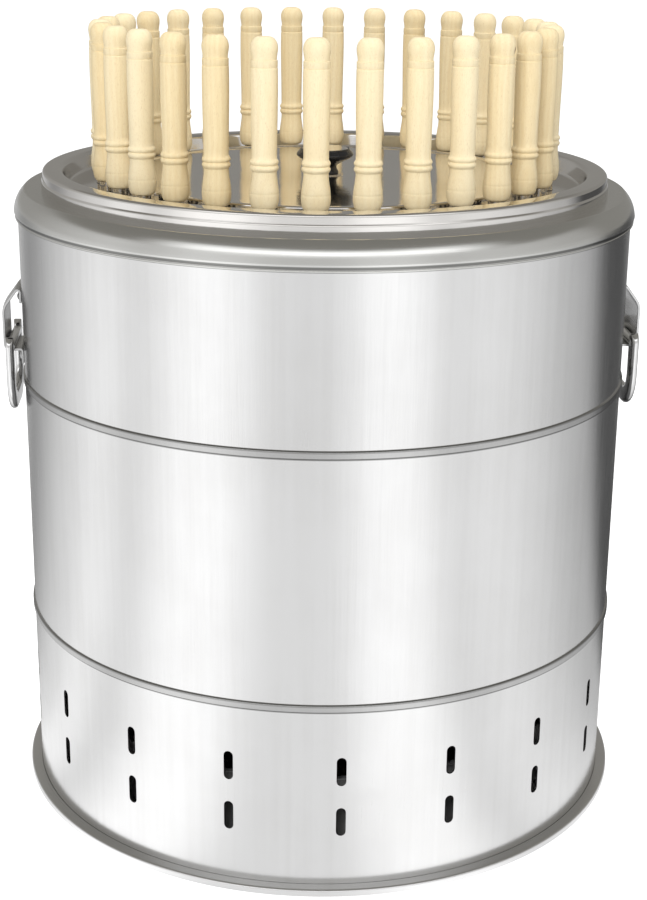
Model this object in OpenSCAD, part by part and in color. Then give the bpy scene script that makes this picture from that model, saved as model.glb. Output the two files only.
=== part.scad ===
// Barrel barbecue grill: a sheet steel barrel whose mouth carries a ring tray with hanging skewers.
// Millimetres, +Z up, origin at the centre of the foot ring's underside, front towards -Y.

/* [Barrel] */
// Outside diameter of the barrel wall
wall_d = 397; // [390:1:404]
// Sheet thickness of the barrel wall
wall_t = 1; // [0.8:0.05:1.1]
// Height of the flat top of the collar
barrel_h = 404.7; // [395:0.1:420]
// Height of the middle of the lower bead
bead_low_z = 124; // [115:1:135]
// Height of one bead
bead_h = 4.6; // [4:0.1:6]
// How far a bead stands out of the wall
bead_out = 1.3; // [1.1:0.1:1.6]
// Height of the sloped sides of a bead
bead_slope = 0.5; // [0.3:0.1:0.8]
// Rounding of a bead's corners along the middle of the sheet
bead_round = 0.6; // [0.6:0.05:0.7]
// Gap from the feet of the strap loops down to the upper bead
bead_clear = 4.3; // [0.5:0.1:20]

/* [Air slots] */
// Number of slots in one row
vent_count = 18; // [12:1:24]
// Width of one slot
vent_w = 6; // [4:0.5:8]
// Length of one slot from end to end
vent_l = 19; // [14:1:24]
// Height of the middle of the lower row
vent_low_z = 48; // [40:1:54]
// Distance from the lower row to the upper row
vent_rise = 34; // [30:1:40]

/* [Foot ring and bottom] */
// How far the foot ring stands out of the wall
foot_out = 7.5; // [5:0.5:10]
// Height of the foot ring
foot_h = 5; // [4:0.5:8]
// Rounding of the foot ring's outer edges
foot_round = 1.5; // [0.5:0.5:2]
// Width of the ledge inside the foot ring
ledge_w = 8.5; // [6:0.5:14]
// Thickness of that ledge
ledge_t = 1.2; // [1:0.1:2]
// Sheet thickness of the bottom plate
bottom_t = 1; // [0.8:0.1:1.5]
// Height of the bottom plate's skirt
bottom_skirt = 7.8; // [6:0.2:12]
// Rounding between the bottom plate and its skirt
bottom_round = 3; // [2:0.5:4]

/* [Collar] */
// Sheet thickness of the collar
collar_t = 1.2; // [0.8:0.1:1.6]
// Height of the collar from its lower edge to its flat top
collar_h = 17.7; // [17.5:0.1:19]
// Radius of the hem rolled at the collar's lower edge
collar_hem_r = 0.8; // [0.7:0.1:1]
// Distance from the flat top down to the neck over the hem
collar_neck_drop = 15.3; // [15.2:0.1:15.6]
// Distance from the flat top down to the belly over the neck
collar_belly_drop = 13.4; // [12.5:0.1:13.5]
// How far the belly stands out of the wall along the middle of the sheet
collar_belly = 1.8; // [1.6:0.1:2.2]
// Distance from the flat top down to the bend of the shoulder
collar_bend_drop = 5.7; // [5:0.1:6]
// How far that bend stands out of the wall along the middle of the sheet
collar_bend = 0.4; // [0:0.1:0.8]
// Rounding of that bend
collar_round = 18; // [10:1:19]
// Distance from the wall in to the start of the flat top
collar_shoulder = 4.7; // [4.5:0.1:6]
// Rounding of the collar's tight folds along the middle of the sheet
collar_fold = 1; // [0.8:0.1:1.1]
// Width of the collar round the mouth, from the wall in to the mouth's inside face
collar_w = 28.5; // [26:0.5:32]
// Depth of the lip turned down inside the mouth
mouth_lip = 11; // [6:1:14]
// Rounding of the mouth
mouth_round = 3; // [2:0.5:4]

/* [Strap loops] */
// Width of a strap round the barrel
strap_w = 36; // [28:1:37]
// Sheet thickness of a strap
strap_t = 1.6; // [1.2:0.1:2]
// Distance from the collar's flat top down to the strap's upper fold on the wall
strap_drop = 62.7; // [56:0.1:80]
// Height of the strap loop, from its shelf under the drop handle's bar to its upper fold
strap_h = 43.5; // [40:0.5:48]
// How far the strap stands out of the wall
strap_out = 13; // [12.5:0.1:16]
// Drop of the strap's slanted upper side
strap_slant = 15; // [12:1:18]
// Rounding between the slanted side and the upright side
strap_round = 11; // [6:1:14]
// Rounding of the tight folds at the wall along the middle of the sheet
strap_fold = 1.6; // [1.2:0.1:2]
// Length of the tab folded down behind the strap
tab_l = 12; // [11:0.5:14]
// Length of the foot below the shelf
strap_foot = 9.6; // [8:0.2:12]
// Radius of a rivet's shank
rivet_r = 1.8; // [1.5:0.1:2.2]
// Radius of a rivet's head
rivet_head_r = 2.9; // [2.7:0.1:3]
// Height of a rivet's head
rivet_head_h = 1.3; // [1:0.1:2]
// Distance between the two rivets of a foot
rivet_gap = 20; // [14:1:22]

/* [Drop handles] */
// Outside width of a drop handle
drop_w = 64; // [64:1:80]
// Distance from the hinge bar down to the middle of the grip
drop_l = 39.5; // [36:0.5:50]
// Radius of the hinge bar
drop_bar_r = 3; // [2.5:0.1:3.5]
// Width of the band of the handle
drop_band_w = 12.5; // [9:0.5:12.5]
// Thickness of the band of the handle
drop_band_t = 4.8; // [4:0.2:6]
// Radius of the lower corners along the middle of the band
drop_corner = 17; // [12:0.5:20]

/* [Skewer tray] */
// Sheet thickness of the tray
tray_t = 1; // [0.8:0.1:1.4]
// How far the tray's rim reaches out over the mouth
rim_over = 12.8; // [11:0.2:15]
// Height of the rim's crest over the collar
rim_h = 11.8; // [10:0.2:14]
// Fall of the rim's top from its inner wall to its outer edge
rim_fall = 0.2; // [0.1:0.1:1]
// Rounding of the rim's outer edge along the middle of the sheet
rim_edge = 1.6; // [1.2:0.1:2]
// Distance from the rim's top down to the step in its side
rim_step = 5.2; // [4.5:0.1:6]
// Width of that step
rim_step_w = 1.2; // [1:0.1:2]
// Height of the slope of that step
rim_slope = 1.2; // [1:0.1:1.6]
// Distance from the mouth in to where the inner wall meets the floor
floor_inset = 3.5; // [2:0.5:6]
// How far the inner wall leans out on its way up
rim_lean = 3; // [2:0.5:4]
// Rounding of the inner wall at the floor and at the crest
rim_round = 3; // [2:0.5:4]
// Distance from the ring of skewers in to the central opening
opening_inset = 24.6; // [22:0.2:28]
// Clearance on each side of a blade in its notch
notch_gap = 0.4; // [0.3:0.1:0.8]

/* [Inner lid and knob] */
// Clearance between the lid's edge and the handles when the lid is lifted past them
lid_gap = 0.4; // [0.3:0.1:1.5]
// Sheet thickness of the lid
lid_t = 1; // [0.8:0.1:1.4]
// Height of the lid's flat plate over the tray's floor
lid_h = 6; // [5:0.2:8]
// How far the lid's edge bead stands over the plate
lid_bead = 1; // [0.6:0.1:1.6]
// Width of the lid's edge bead
lid_bead_w = 4.4; // [3.6:0.2:6]
// Widest radius of the knob
knob_r = 18.5; // [16:0.5:20]
// Height of the knob over its washer
knob_h = 16; // [14:0.5:22]
// Height of the knob's waist over its washer
knob_waist_h = 4; // [3:0.5:5]
// Distance from the knob's top down to its widest part
knob_flare_drop = 4; // [3:0.5:5]
// Radius of the knob's foot
knob_foot_r = 9; // [8:0.5:11]
// Radius of the knob's waist
knob_waist_r = 7.6; // [6.5:0.1:7.8]
// Radius of the steel cap on the knob
cap_r = 15; // [12:0.5:15.5]
// Thickness of the steel cap
cap_t = 0.8; // [0.5:0.1:1.2]
// Radius of the washer under the knob
washer_r = 12; // [10:0.5:16]
// Thickness of the washer
washer_t = 0.8; // [0.5:0.1:1.5]
// Radius of the knob's screw
screw_r = 2.5; // [2:0.1:3]
// Radius of the screw's head
screw_head_r = 4.5; // [4:0.1:6]
// Height of the screw's head
screw_head_h = 1.8; // [1.2:0.1:2.4]
// Length of the screw inside the knob
screw_grip = 9; // [6:0.5:10]

/* [Skewers] */
// Number of skewers
skewer_count = 30; // [24:1:30]
// Distance from the edge of the tray's floor in to the ring on which the skewers hang
skewer_inset = 23.9; // [20:0.1:26]
// Angle of the first skewer from the front
skewer_phase = 6; // [0:0.5:12]
// Radius of a ferrule
ferrule_r = 5; // [4.8:0.1:6]
// Height of a ferrule
ferrule_h = 6.4; // [5:0.2:9]
// Bevel of a ferrule's edges
ferrule_edge = 0.4; // [0.2:0.1:0.8]
// Width of a blade
blade_w = 8; // [6:0.5:9]
// Thickness of a blade
blade_t = 1.8; // [1.2:0.1:2.2]
// Length of a blade below the tray's floor
blade_l = 300; // [260:5:310]
// Length of a blade's pointed end
blade_tip = 26; // [15:1:40]
// Width of a blade's tang
tang_w = 5; // [4:0.5:5.5]
// Length of the tang inside the handle
tang_l = 28; // [15:1:40]

/* [Turned handles] */
// Length of a turned handle
handle_l = 96.5; // [90:0.5:105]
// Radius of the flat at the handle's lower end
handle_end_r = 6.2; // [5.6:0.1:7]
// Radius of the bulb over the lower end
handle_bulb_r = 8.6; // [8:0.1:8.8]
// Height of the bulb's widest part
handle_bulb_z = 7; // [4:0.5:9]
// Radius of the neck over the bulb
handle_neck_r = 7.2; // [6.5:0.1:7.4]
// Height of the neck
handle_neck_z = 21.6; // [16:0.2:24]
// Radius of the two ring beads over the neck
handle_bead_r = 8.3; // [7.8:0.1:8.6]
// Height of one ring bead
handle_bead_h = 3.3; // [3:0.1:4]
// Radius of the grip just over the ring beads
handle_low_r = 7.3; // [7:0.1:7.8]
// Widest radius of the grip
handle_belly_r = 7.8; // [7.7:0.1:8.5]
// Height of the widest part of the grip
handle_belly_z = 70; // [55:1:74]
// Radius of the grip under the plain band
handle_high_r = 7.7; // [7.4:0.1:7.9]
// Height of the thin groove under the plain band
handle_band_z = 79.2; // [76:0.2:80]
// Height of the plain band
handle_band_h = 4.6; // [3:0.1:5]
// Radius of the plain band
handle_band_r = 7.6; // [7.3:0.1:7.9]
// Radius of the groove under the head
handle_groove_r = 7.1; // [6.2:0.1:7.2]
// Radius of the head
handle_head_r = 7.8; // [7.3:0.1:8.2]
// Radius of the flat on the crown of the head
handle_crown_r = 3; // [1:0.2:4]
// Depth of the turned grooves beside the beads and the band
handle_cut = 0.35; // [0.2:0.05:0.5]

/* [Drip pan] */
// Room between the barrel and the pan's wall
pan_room = 25.5; // [22:0.5:40]
// Height of the pan
pan_h = 56; // [40:1:60]
// Sheet thickness of the pan
pan_t = 0.8; // [0.6:0.1:1.2]
// How far the pan's wall leans out
pan_lean = 4; // [2:1:8]
// Width of the flange round the pan's rim
pan_flange = 4; // [3:0.5:6]
// Rounding between the pan's floor and wall
pan_round = 8; // [4:1:12]

/* [Charcoal basket] */
// Outside radius of the drum
drum_r = 100; // [90:1:102]
// Sheet thickness of the drum
drum_t = 1; // [0.8:0.1:1.4]
// Height of the drum
drum_h = 156; // [130:1:165]
// Number of the drum's feet
drum_feet = 3; // [3:1:6]
// Height of the drum's feet
drum_feet_h = 14; // [8:1:20]
// Radius of a foot
drum_foot_r = 5; // [4:0.5:6]
// How far the feet rise inside the drum, up to the grate that they carry
drum_foot_rise = 8; // [6:0.5:12]
// Height of plain wall under the lowest row of holes
drum_plain = 12; // [12:0.5:16]
// Number of holes round the drum
drum_holes = 20; // [16:1:24]
// Number of rows of holes
drum_rows = 3; // [2:1:4]
// Width of a hole in the drum
drum_hole_w = 9; // [6:0.5:11]
// Length of a hole in the drum
drum_hole_l = 28; // [20:1:30]
// Radius of the wire of the grate
grate_wire_r = 2.5; // [2:0.1:3]
// Number of bars in the grate
grate_bars = 9; // [5:2:11]
// Radius of an ear of the basket
ear_r = 9; // [8:0.5:10]
// Thickness of an ear
ear_t = 2; // [1.5:0.1:2.2]
// Distance from the rim down to the pivot of the bail
pivot_drop = 12; // [11:0.5:14]
// Radius of the bail's wire
bail_r = 2.5; // [2:0.1:2.6]
// Clearance between the bail and the ear's face
bail_gap = 1.4; // [1:0.1:2]

/* [Fits] */
// Clearance between curved faces of pieces that move past each other
run_gap = 0.3; // [0.2:0.05:0.5]
// Clearance between sheet parts fitted into each other
fit_gap = 0.2; // [0.1:0.05:0.3]
// Clearance between pieces fixed to each other, such as a tang in its handle or a rivet in its hole
snug_gap = 0.1; // [0.05:0.05:0.2]

/* [Hidden] */
$fn = 96;
// Steps of a bend's arc, of a rolled hem's arc, of a turned bead's arc and of a turned curve
bend_steps = 5;
hem_steps = 16;
bead_steps = 6;
turn_steps = 7;
// Cutters reach this far past the faces that they cut
cut_over = 2;

wall_r = wall_d / 2;
wall_in = wall_r - wall_t;
wall_mid = wall_r - wall_t / 2;
mouth_r = wall_r - collar_w;
wall_top = barrel_h - collar_belly_drop + collar_t;
bottom_z = ledge_t + bottom_skirt;
strap_top_z = barrel_h - strap_drop;
shelf_z = strap_top_z - strap_h;
bead_high_z = shelf_z - strap_foot - bead_clear - bead_h / 2;
collar_mid_z = barrel_h - collar_t / 2;

strap_face_r = wall_r + strap_out;
strap_in_r = strap_face_r - strap_t;
strap_angle = strap_w / strap_face_r * 180 / PI;
strap_mid_r = strap_face_r - strap_t / 2;
strap_foot_r = wall_r + fit_gap + strap_t / 2;
shelf_top = shelf_z + strap_t / 2;
fold_z = strap_top_z - strap_t / 2;
// Length of the tab that the upper fold takes up; a rivet sits in the middle of what is left flat
fold_reach = strap_fold / tan(atan2(strap_mid_r - strap_foot_r, strap_slant) / 2);
rivet_z = [fold_z - (tab_l + fold_reach) / 2, shelf_z - (strap_foot + strap_fold) / 2];
rivet_angle = rivet_gap / 2 / wall_r * 180 / PI;
hinge_x = strap_in_r * cos(strap_angle / 2) - drop_bar_r - run_gap;
hinge_z = shelf_top + drop_bar_r + run_gap;

rim_r = mouth_r + rim_over;
rim_step_r = rim_r - rim_step_w;
floor_r = mouth_r - floor_inset;
skewer_ring_r = floor_r - skewer_inset;
opening_r = skewer_ring_r - opening_inset;
tray_floor_z = barrel_h + run_gap;
tray_mid_z = tray_floor_z - tray_t / 2;
crest_z = barrel_h + rim_h - tray_t / 2;
blade_out_r = skewer_ring_r + blade_w / 2;
notch_w = blade_t + 2 * notch_gap;
notch_end_r = blade_out_r + notch_gap;

lid_r = skewer_ring_r - max(handle_bulb_r, handle_bead_r, handle_belly_r) - lid_gap;
lid_plate_z = tray_floor_z + lid_h - lid_t / 2;
lid_top = lid_plate_z + lid_t / 2;
washer_top = lid_top + washer_t;
knob_top = washer_top + knob_h;
handle_z = tray_floor_z + ferrule_h + snug_gap;

pan_r = wall_in - pan_room;
pan_floor_z = bottom_z + pan_t;
drum_z = pan_floor_z + drum_feet_h;
drum_top = drum_z + drum_h;
drum_in = drum_r - drum_t;
pivot_z = drum_top - pivot_drop;
ear_face = drum_r + ear_t;
bail_ring_r = ear_face + bail_gap + bail_r;
grate_z = drum_z + drum_foot_rise + grate_wire_r;
grate_ring_r = drum_in - fit_gap - grate_wire_r;

function skewer_name(i) = str("skewer_", i < 10 ? "0" : "", i);

// Points on an arc about c
function arc(c, r, from, to, steps) =
    [for (i = [0:steps]) let (a = from + (to - from) * i / steps) c + r * [cos(a), sin(a)]];

// Points of a turned curve from one (radius, height) to the next, flat at both ends, without its first point
function swell(p, q, steps = turn_steps) =
    [for (i = [1:steps])
        let (s = i / steps)
        [p.x + (q.x - p.x) * (1 - cos(180 * s)) / 2, p.y + (q.y - p.y) * s]
    ];

function unit(v) = v / norm(v);
function reversed(list) = [for (i = [len(list) - 1:-1:0]) list[i]];

// The corner p-q-s rounded to radius r along the middle of the sheet
function bend(p, q, s, r) =
    let (
        back = unit(p - q),
        ahead = unit(s - q),
        half = acos(back * ahead) / 2,
        centre = q + unit(back + ahead) * r / sin(half),
        start = q + back * r / tan(half) - centre,
        turn = sign(cross(-back, ahead)) * (180 - 2 * half),
        from = atan2(start.y, start.x)
    )
    arc(centre, r, from, from + turn, bend_steps);

// A folded line through points, each inner corner rounded to its own radius
function folded(points, radii) = concat(
    [points[0]],
    [for (i = [1:len(points) - 2]) each bend(points[i - 1], points[i], points[i + 1], radii[i - 1])],
    [points[len(points) - 1]]
);

// The line moved sideways by d, with mitred corners
function beside(line, d) = [
    for (i = [0:len(line) - 1])
        let (
            before = unit(line[max(i, 1)] - line[max(i, 1) - 1]),
            after = unit(line[min(i + 1, len(line) - 1)] - line[min(i, len(line) - 2)]),
            n1 = [-before.y, before.x],
            n2 = [-after.y, after.x]
        )
        line[i] + d * (n1 + n2) / (1 + n1 * n2)
];

// Section of a sheet of thickness t along a folded line
module sheet(points, radii, t) {
    line = folded(points, radii);
    polygon(concat(beside(line, t / 2), reversed(beside(line, -t / 2))));
}

// Section of a sheet of thickness t along a folded line, with a hem of radius r rolled at its start
module hemmed_sheet(points, radii, t, r) {
    line = folded(points, radii);
    left = beside(line, t / 2);
    right = reversed(beside(line, -t / 2));
    ahead = line[1] - line[0];
    turn = atan2(ahead.y, ahead.x);
    half = asin(t / 2 / r);
    polygon(concat(
        [for (i = [1:len(left) - 1]) left[i]],
        [for (i = [0:len(right) - 2]) right[i]],
        arc(line[0], r, turn - half, turn + half - 360, hem_steps)
    ));
}

// A slot with round ends, w wide and l long, standing on its end
module obround(w, l) {
    square([w, l - w], center = true);
    translate([0, (l - w) / 2]) circle(d = w);
    translate([0, (w - l) / 2]) circle(d = w);
}

// Puts children at angle a from the front, r out and z up, with their own -Y pointing out
module around(a, r = 0, z = 0) {
    rotate([0, 0, a]) translate([0, -r, z]) children();
}

// A slot cut outward through a wall of radius r
module wall_slot(a, r, z, w, l) {
    around(a, r + cut_over, z) rotate([90, 0, 180]) linear_extrude(2 * cut_over + wall_t) obround(w, l);
}

// A round hole of radius hole_r cut through the walls from r_in to r_out on the +X side
module side_hole(a, z, hole_r, r_in, r_out) {
    rotate([0, 0, a]) translate([r_in, 0, z]) rotate([0, 90, 0]) cylinder(h = r_out - r_in, r = hole_r);
}

// The folds of a bead whose middle is at height z, along the middle of the wall's sheet
function bead_line(z) = [
    [wall_mid, z - bead_h / 2],
    [wall_mid + bead_out, z - bead_h / 2 + bead_slope],
    [wall_mid + bead_out, z + bead_h / 2 - bead_slope],
    [wall_mid, z + bead_h / 2]
];

// The places of the rivets of one strap loop, as children at [angle, height]
module each_rivet() {
    for (z = rivet_z, side = [-1, 1]) {
        $angle = side * rivet_angle;
        $height = z;
        children();
    }
}

module barrel_wall() {
    beads = concat(bead_line(bead_low_z), bead_line(bead_high_z));
    color("lightgray") difference() {
        rotate_extrude() sheet(
            concat([[wall_mid, ledge_t]], beads, [[wall_mid, wall_top]]),
            [for (fold = beads) bead_round],
            wall_t
        );
        for (i = [0:vent_count - 1], row = [0, 1])
            wall_slot(i * 360 / vent_count, wall_r, vent_low_z + row * vent_rise, vent_w, vent_l);
        for (turn = [0, 180])
            rotate([0, 0, turn]) each_rivet()
                side_hole($angle, $height, rivet_r + snug_gap, wall_in - cut_over, wall_r + cut_over);
    }
}

module base_ring() {
    outer = wall_r + foot_out;
    inner = wall_r + fit_gap;
    color("silver") rotate_extrude() polygon(concat(
        [[wall_r - ledge_w, 0]],
        arc([outer - foot_round, foot_round], foot_round, -90, 0, bend_steps),
        arc([outer - foot_round, foot_h - foot_round], foot_round, 0, 90, bend_steps),
        [[inner, foot_h], [inner, ledge_t], [wall_r - ledge_w, ledge_t]]
    ));
}

module bottom_plate() {
    skirt_r = wall_in - fit_gap - bottom_t / 2;
    mid_z = bottom_z - bottom_t / 2;
    color("gray") rotate_extrude()
        sheet([[skirt_r, ledge_t], [skirt_r, mid_z], [0, mid_z]], [bottom_round], bottom_t);
}

module shoulder_collar() {
    lip_r = mouth_r + collar_t / 2;
    hem = [wall_r + fit_gap + collar_hem_r, barrel_h - collar_h + collar_hem_r];
    color("silver") rotate_extrude() hemmed_sheet(
        [
            hem,
            [wall_r + fit_gap + collar_t / 2, barrel_h - collar_neck_drop],
            [wall_r + collar_belly, barrel_h - collar_belly_drop],
            [wall_r + collar_bend, barrel_h - collar_bend_drop],
            [wall_r - collar_shoulder, collar_mid_z],
            [lip_r, collar_mid_z],
            [lip_r, collar_mid_z - mouth_lip]
        ],
        [collar_fold, collar_fold, collar_round, collar_fold, mouth_round],
        collar_t,
        collar_hem_r
    );
}

// One strap loop on the +X side, curved to the wall
module handle_bracket() {
    color("silver") difference() {
        rotate([0, 0, -strap_angle / 2]) rotate_extrude(angle = strap_angle) sheet(
            [
                [strap_foot_r, fold_z - tab_l],
                [strap_foot_r, fold_z],
                [strap_mid_r, fold_z - strap_slant],
                [strap_mid_r, shelf_z],
                [strap_foot_r, shelf_z],
                [strap_foot_r, shelf_z - strap_foot]
            ],
            [strap_fold, strap_round, drop_bar_r + run_gap + strap_t / 2, strap_fold],
            strap_t
        );
        each_rivet()
            side_hole($angle, $height, rivet_r + snug_gap, wall_r - cut_over, strap_foot_r + cut_over);
    }
}
module right_handle_bracket() {
    handle_bracket();
}
module left_handle_bracket() {
    rotate([0, 0, 180]) handle_bracket();
}

// A rivet through strap and wall, with a domed head outside and a flat head inside
module rivet() {
    seat = strap_foot_r + strap_t / 2;
    dome_r = (rivet_head_r * rivet_head_r + rivet_head_h * rivet_head_h) / (2 * rivet_head_h);
    dome_angle = asin(rivet_head_r / dome_r);
    inside = wall_in - snug_gap - rivet_head_h;
    translate([inside, 0, 0]) rotate([0, 90, 0]) rotate_extrude() polygon(concat(
        [[0, 0], [rivet_head_r, 0], [rivet_head_r, rivet_head_h], [rivet_r, rivet_head_h]],
        [[rivet_r, seat - inside]],
        arc([0, seat - inside + rivet_head_h - dome_r], dome_r, 90 - dome_angle, 90, bend_steps)
    ));
}
module bracket_rivets() {
    color("gainsboro") for (turn = [0, 180])
        rotate([0, 0, turn]) each_rivet() rotate([0, 0, $angle]) translate([0, 0, $height]) rivet();
}

// Section of a drop handle's band, wide in the plane of the ring and thin across it, with rounded edges
module oval_band() {
    flat = drop_band_w - drop_band_t;
    square([flat, drop_band_t], center = true);
    for (side = [-1, 1]) translate([side * flat / 2, 0]) circle(d = drop_band_t);
}

// One drop handle on the +X side, hanging down from its hinge bar
module drop_handle() {
    half_w = drop_w / 2 - drop_band_w / 2;
    leg_l = drop_l - drop_corner;
    color("whitesmoke") translate([hinge_x, 0, hinge_z]) {
        rotate([90, 0, 0]) cylinder(h = 2 * half_w, r = drop_bar_r, center = true);
        for (side = [-1, 1]) {
            translate([0, side * half_w, -leg_l]) linear_extrude(leg_l) rotate([0, 0, 90]) oval_band();
            translate([0, side * half_w, 0]) rotate([0, 90, 0])
                cylinder(h = drop_band_t, d = drop_band_w, center = true);
            translate([0, side * (half_w - drop_corner), -leg_l]) rotate([90, 0, 90])
                rotate([0, 0, side > 0 ? -90 : 180]) rotate_extrude(angle = 90)
                    translate([drop_corner, 0]) oval_band();
        }
        translate([0, 0, -drop_l]) rotate([90, 0, 0])
            linear_extrude(2 * (half_w - drop_corner), center = true) rotate([0, 0, 90]) oval_band();
    }
}
module right_drop_handle() {
    drop_handle();
}
module left_drop_handle() {
    rotate([0, 0, 180]) drop_handle();
}

// A notch in the tray's floor, open to the central opening
module notch() {
    translate([0, 0, tray_floor_z - tray_t - cut_over]) linear_extrude(tray_t + 2 * cut_over) {
        translate([-notch_w / 2, -notch_end_r]) square([notch_w, notch_end_r - opening_r + cut_over]);
        translate([0, -notch_end_r]) circle(d = notch_w);
    }
}
module skewer_tray() {
    skirt_r = rim_r - tray_t / 2;
    wall_top_r = floor_r + rim_lean;
    edge_z = crest_z - rim_fall;
    step_z = edge_z - rim_step;
    color("gainsboro") difference() {
        rotate_extrude() sheet(
            [
                [opening_r, tray_mid_z],
                [floor_r, tray_mid_z],
                [wall_top_r, crest_z],
                [rim_step_r, edge_z],
                [rim_step_r, step_z],
                [skirt_r, step_z - rim_slope],
                [skirt_r, barrel_h]
            ],
            [rim_round, rim_round, rim_edge, tray_t, tray_t],
            tray_t
        );
        for (i = [1:skewer_count]) around(skewer_angle(i)) notch();
    }
}

module inner_lid() {
    skirt_r = lid_r - lid_t / 2;
    bead_z = lid_plate_z + lid_bead;
    color("whitesmoke") rotate_extrude() sheet(
        [
            [screw_r + fit_gap, lid_plate_z],
            [lid_r - lid_bead_w - lid_bead, lid_plate_z],
            [lid_r - lid_bead_w, bead_z],
            [skirt_r, bead_z],
            [skirt_r, tray_floor_z]
        ],
        [lid_t, lid_t, lid_t],
        lid_t
    );
}

module lid_knob() {
    waist_z = washer_top + knob_waist_h;
    flare_z = knob_top - knob_flare_drop;
    bore_r = screw_r + snug_gap;
    bore_top = washer_top + screw_grip + fit_gap;
    color([0.06, 0.06, 0.06]) rotate_extrude() polygon(concat(
        [[0, bore_top], [bore_r, bore_top], [bore_r, washer_top], [knob_foot_r, washer_top]],
        swell([knob_foot_r, washer_top], [knob_waist_r, waist_z]),
        swell([knob_waist_r, waist_z], [knob_r, flare_z]),
        swell([knob_r, flare_z], [cap_r + fit_gap + cap_t, knob_top]),
        [[cap_r + fit_gap, knob_top], [cap_r + fit_gap, knob_top - cap_t], [0, knob_top - cap_t]]
    ));
}
module knob_cap() {
    color("lightgray") translate([0, 0, knob_top - cap_t]) cylinder(h = cap_t, r = cap_r);
}
module knob_washer() {
    color("silver") translate([0, 0, lid_top]) difference() {
        cylinder(h = washer_t, r = washer_r);
        translate([0, 0, -cut_over]) cylinder(h = washer_t + 2 * cut_over, r = screw_r + fit_gap);
    }
}
module knob_screw() {
    head_z = lid_top - lid_t - screw_head_h;
    color("gray") translate([0, 0, head_z]) {
        cylinder(h = screw_head_h, r = screw_head_r);
        cylinder(h = washer_top + screw_grip - head_z, r = screw_r);
    }
}

function skewer_angle(i) = skewer_phase + (i - 1) * 360 / skewer_count;

// Outline of a turned handle from its lower end to its head, as [radius, height]
function handle_outline() =
    let (
        bead_z = handle_neck_z + handle_cut,
        bead_top = bead_z + 2 * handle_bead_h,
        grip_z = bead_top + handle_cut,
        groove_z = handle_band_z + handle_band_h,
        head_z = (groove_z + handle_l) / 2
    )
    concat(
        [[0, 0]],
        [for (s = [bead_steps:-1:0])
            quarter_point(handle_end_r, handle_bulb_r, handle_bulb_z, 0, s / bead_steps)],
        swell([handle_bulb_r, handle_bulb_z], [handle_neck_r, handle_neck_z]),
        [for (k = [0, 1], s = [1:bead_steps - 1]) ring_point(
            handle_neck_r,
            handle_bead_r,
            bead_z + k * handle_bead_h,
            bead_z + (k + 1) * handle_bead_h,
            s / bead_steps
        )],
        [[handle_neck_r, bead_top], [handle_low_r, grip_z]],
        swell([handle_low_r, grip_z], [handle_belly_r, handle_belly_z]),
        swell([handle_belly_r, handle_belly_z], [handle_high_r, handle_band_z]),
        [[handle_high_r - handle_cut, handle_band_z + handle_cut]],
        [[handle_band_r, handle_band_z + 2 * handle_cut], [handle_band_r, groove_z - handle_cut]],
        [[handle_groove_r, groove_z]],
        swell([handle_groove_r, groove_z], [handle_head_r, head_z]),
        [for (s = [1:bead_steps])
            quarter_point(handle_crown_r, handle_head_r, head_z, handle_l, s / bead_steps)],
        [[0, handle_l]]
    );

// A point on a quarter-round from the side at one height to the end at another, s from 0 to 1
function quarter_point(end_r, side_r, side_z, end_z, s) =
    [end_r + (side_r - end_r) * cos(90 * s), side_z + (end_z - side_z) * sin(90 * s)];

// A point on a half-round ring between two heights, s from 0 to 1
function ring_point(low_r, high_r, from, to, s) =
    [low_r + (high_r - low_r) * sin(180 * s), from + (to - from) * s];

module handle() {
    slot = [tang_w + 2 * snug_gap, blade_t + 2 * snug_gap];
    color("burlywood") difference() {
        rotate_extrude() polygon(handle_outline());
        translate([-slot.y / 2, -slot.x / 2, -cut_over]) cube([slot.y, slot.x, tang_l + snug_gap + cut_over]);
    }
}
module ferrule() {
    slot = [tang_w + 2 * snug_gap, blade_t + 2 * snug_gap];
    color("silver") difference() {
        rotate_extrude() polygon([
            [0, 0], [ferrule_r - ferrule_edge, 0], [ferrule_r, ferrule_edge],
            [ferrule_r, ferrule_h - ferrule_edge], [ferrule_r - ferrule_edge, ferrule_h], [0, ferrule_h]
        ]);
        translate([-slot.y / 2, -slot.x / 2, -cut_over]) cube([slot.y, slot.x, ferrule_h + 2 * cut_over]);
    }
}
// A flat blade with its tang, its width along the radius, the tray's floor at height 0
module blade() {
    half = blade_w / 2;
    tang = tang_w / 2;
    color("lightgray") rotate([90, 0, 90]) linear_extrude(blade_t, center = true) polygon([
        [0, -blade_l], [half, blade_tip - blade_l], [half, -snug_gap], [tang, -snug_gap],
        [tang, ferrule_h + tang_l], [-tang, ferrule_h + tang_l],
        [-tang, -snug_gap], [-half, -snug_gap], [-half, blade_tip - blade_l]
    ]);
}
module skewer(i) {
    around(skewer_angle(i), skewer_ring_r) {
        translate([0, 0, handle_z]) handle();
        translate([0, 0, tray_floor_z]) ferrule();
        translate([0, 0, tray_floor_z]) blade();
    }
}

module drip_pan() {
    mid_z = bottom_z + pan_t / 2;
    top_z = bottom_z + pan_h - pan_t / 2;
    color("darkgray") rotate_extrude() sheet(
        [[0, mid_z], [pan_r - pan_lean, mid_z], [pan_r, top_z], [pan_r + pan_flange, top_z]],
        [pan_round, pan_t],
        pan_t
    );
}

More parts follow.
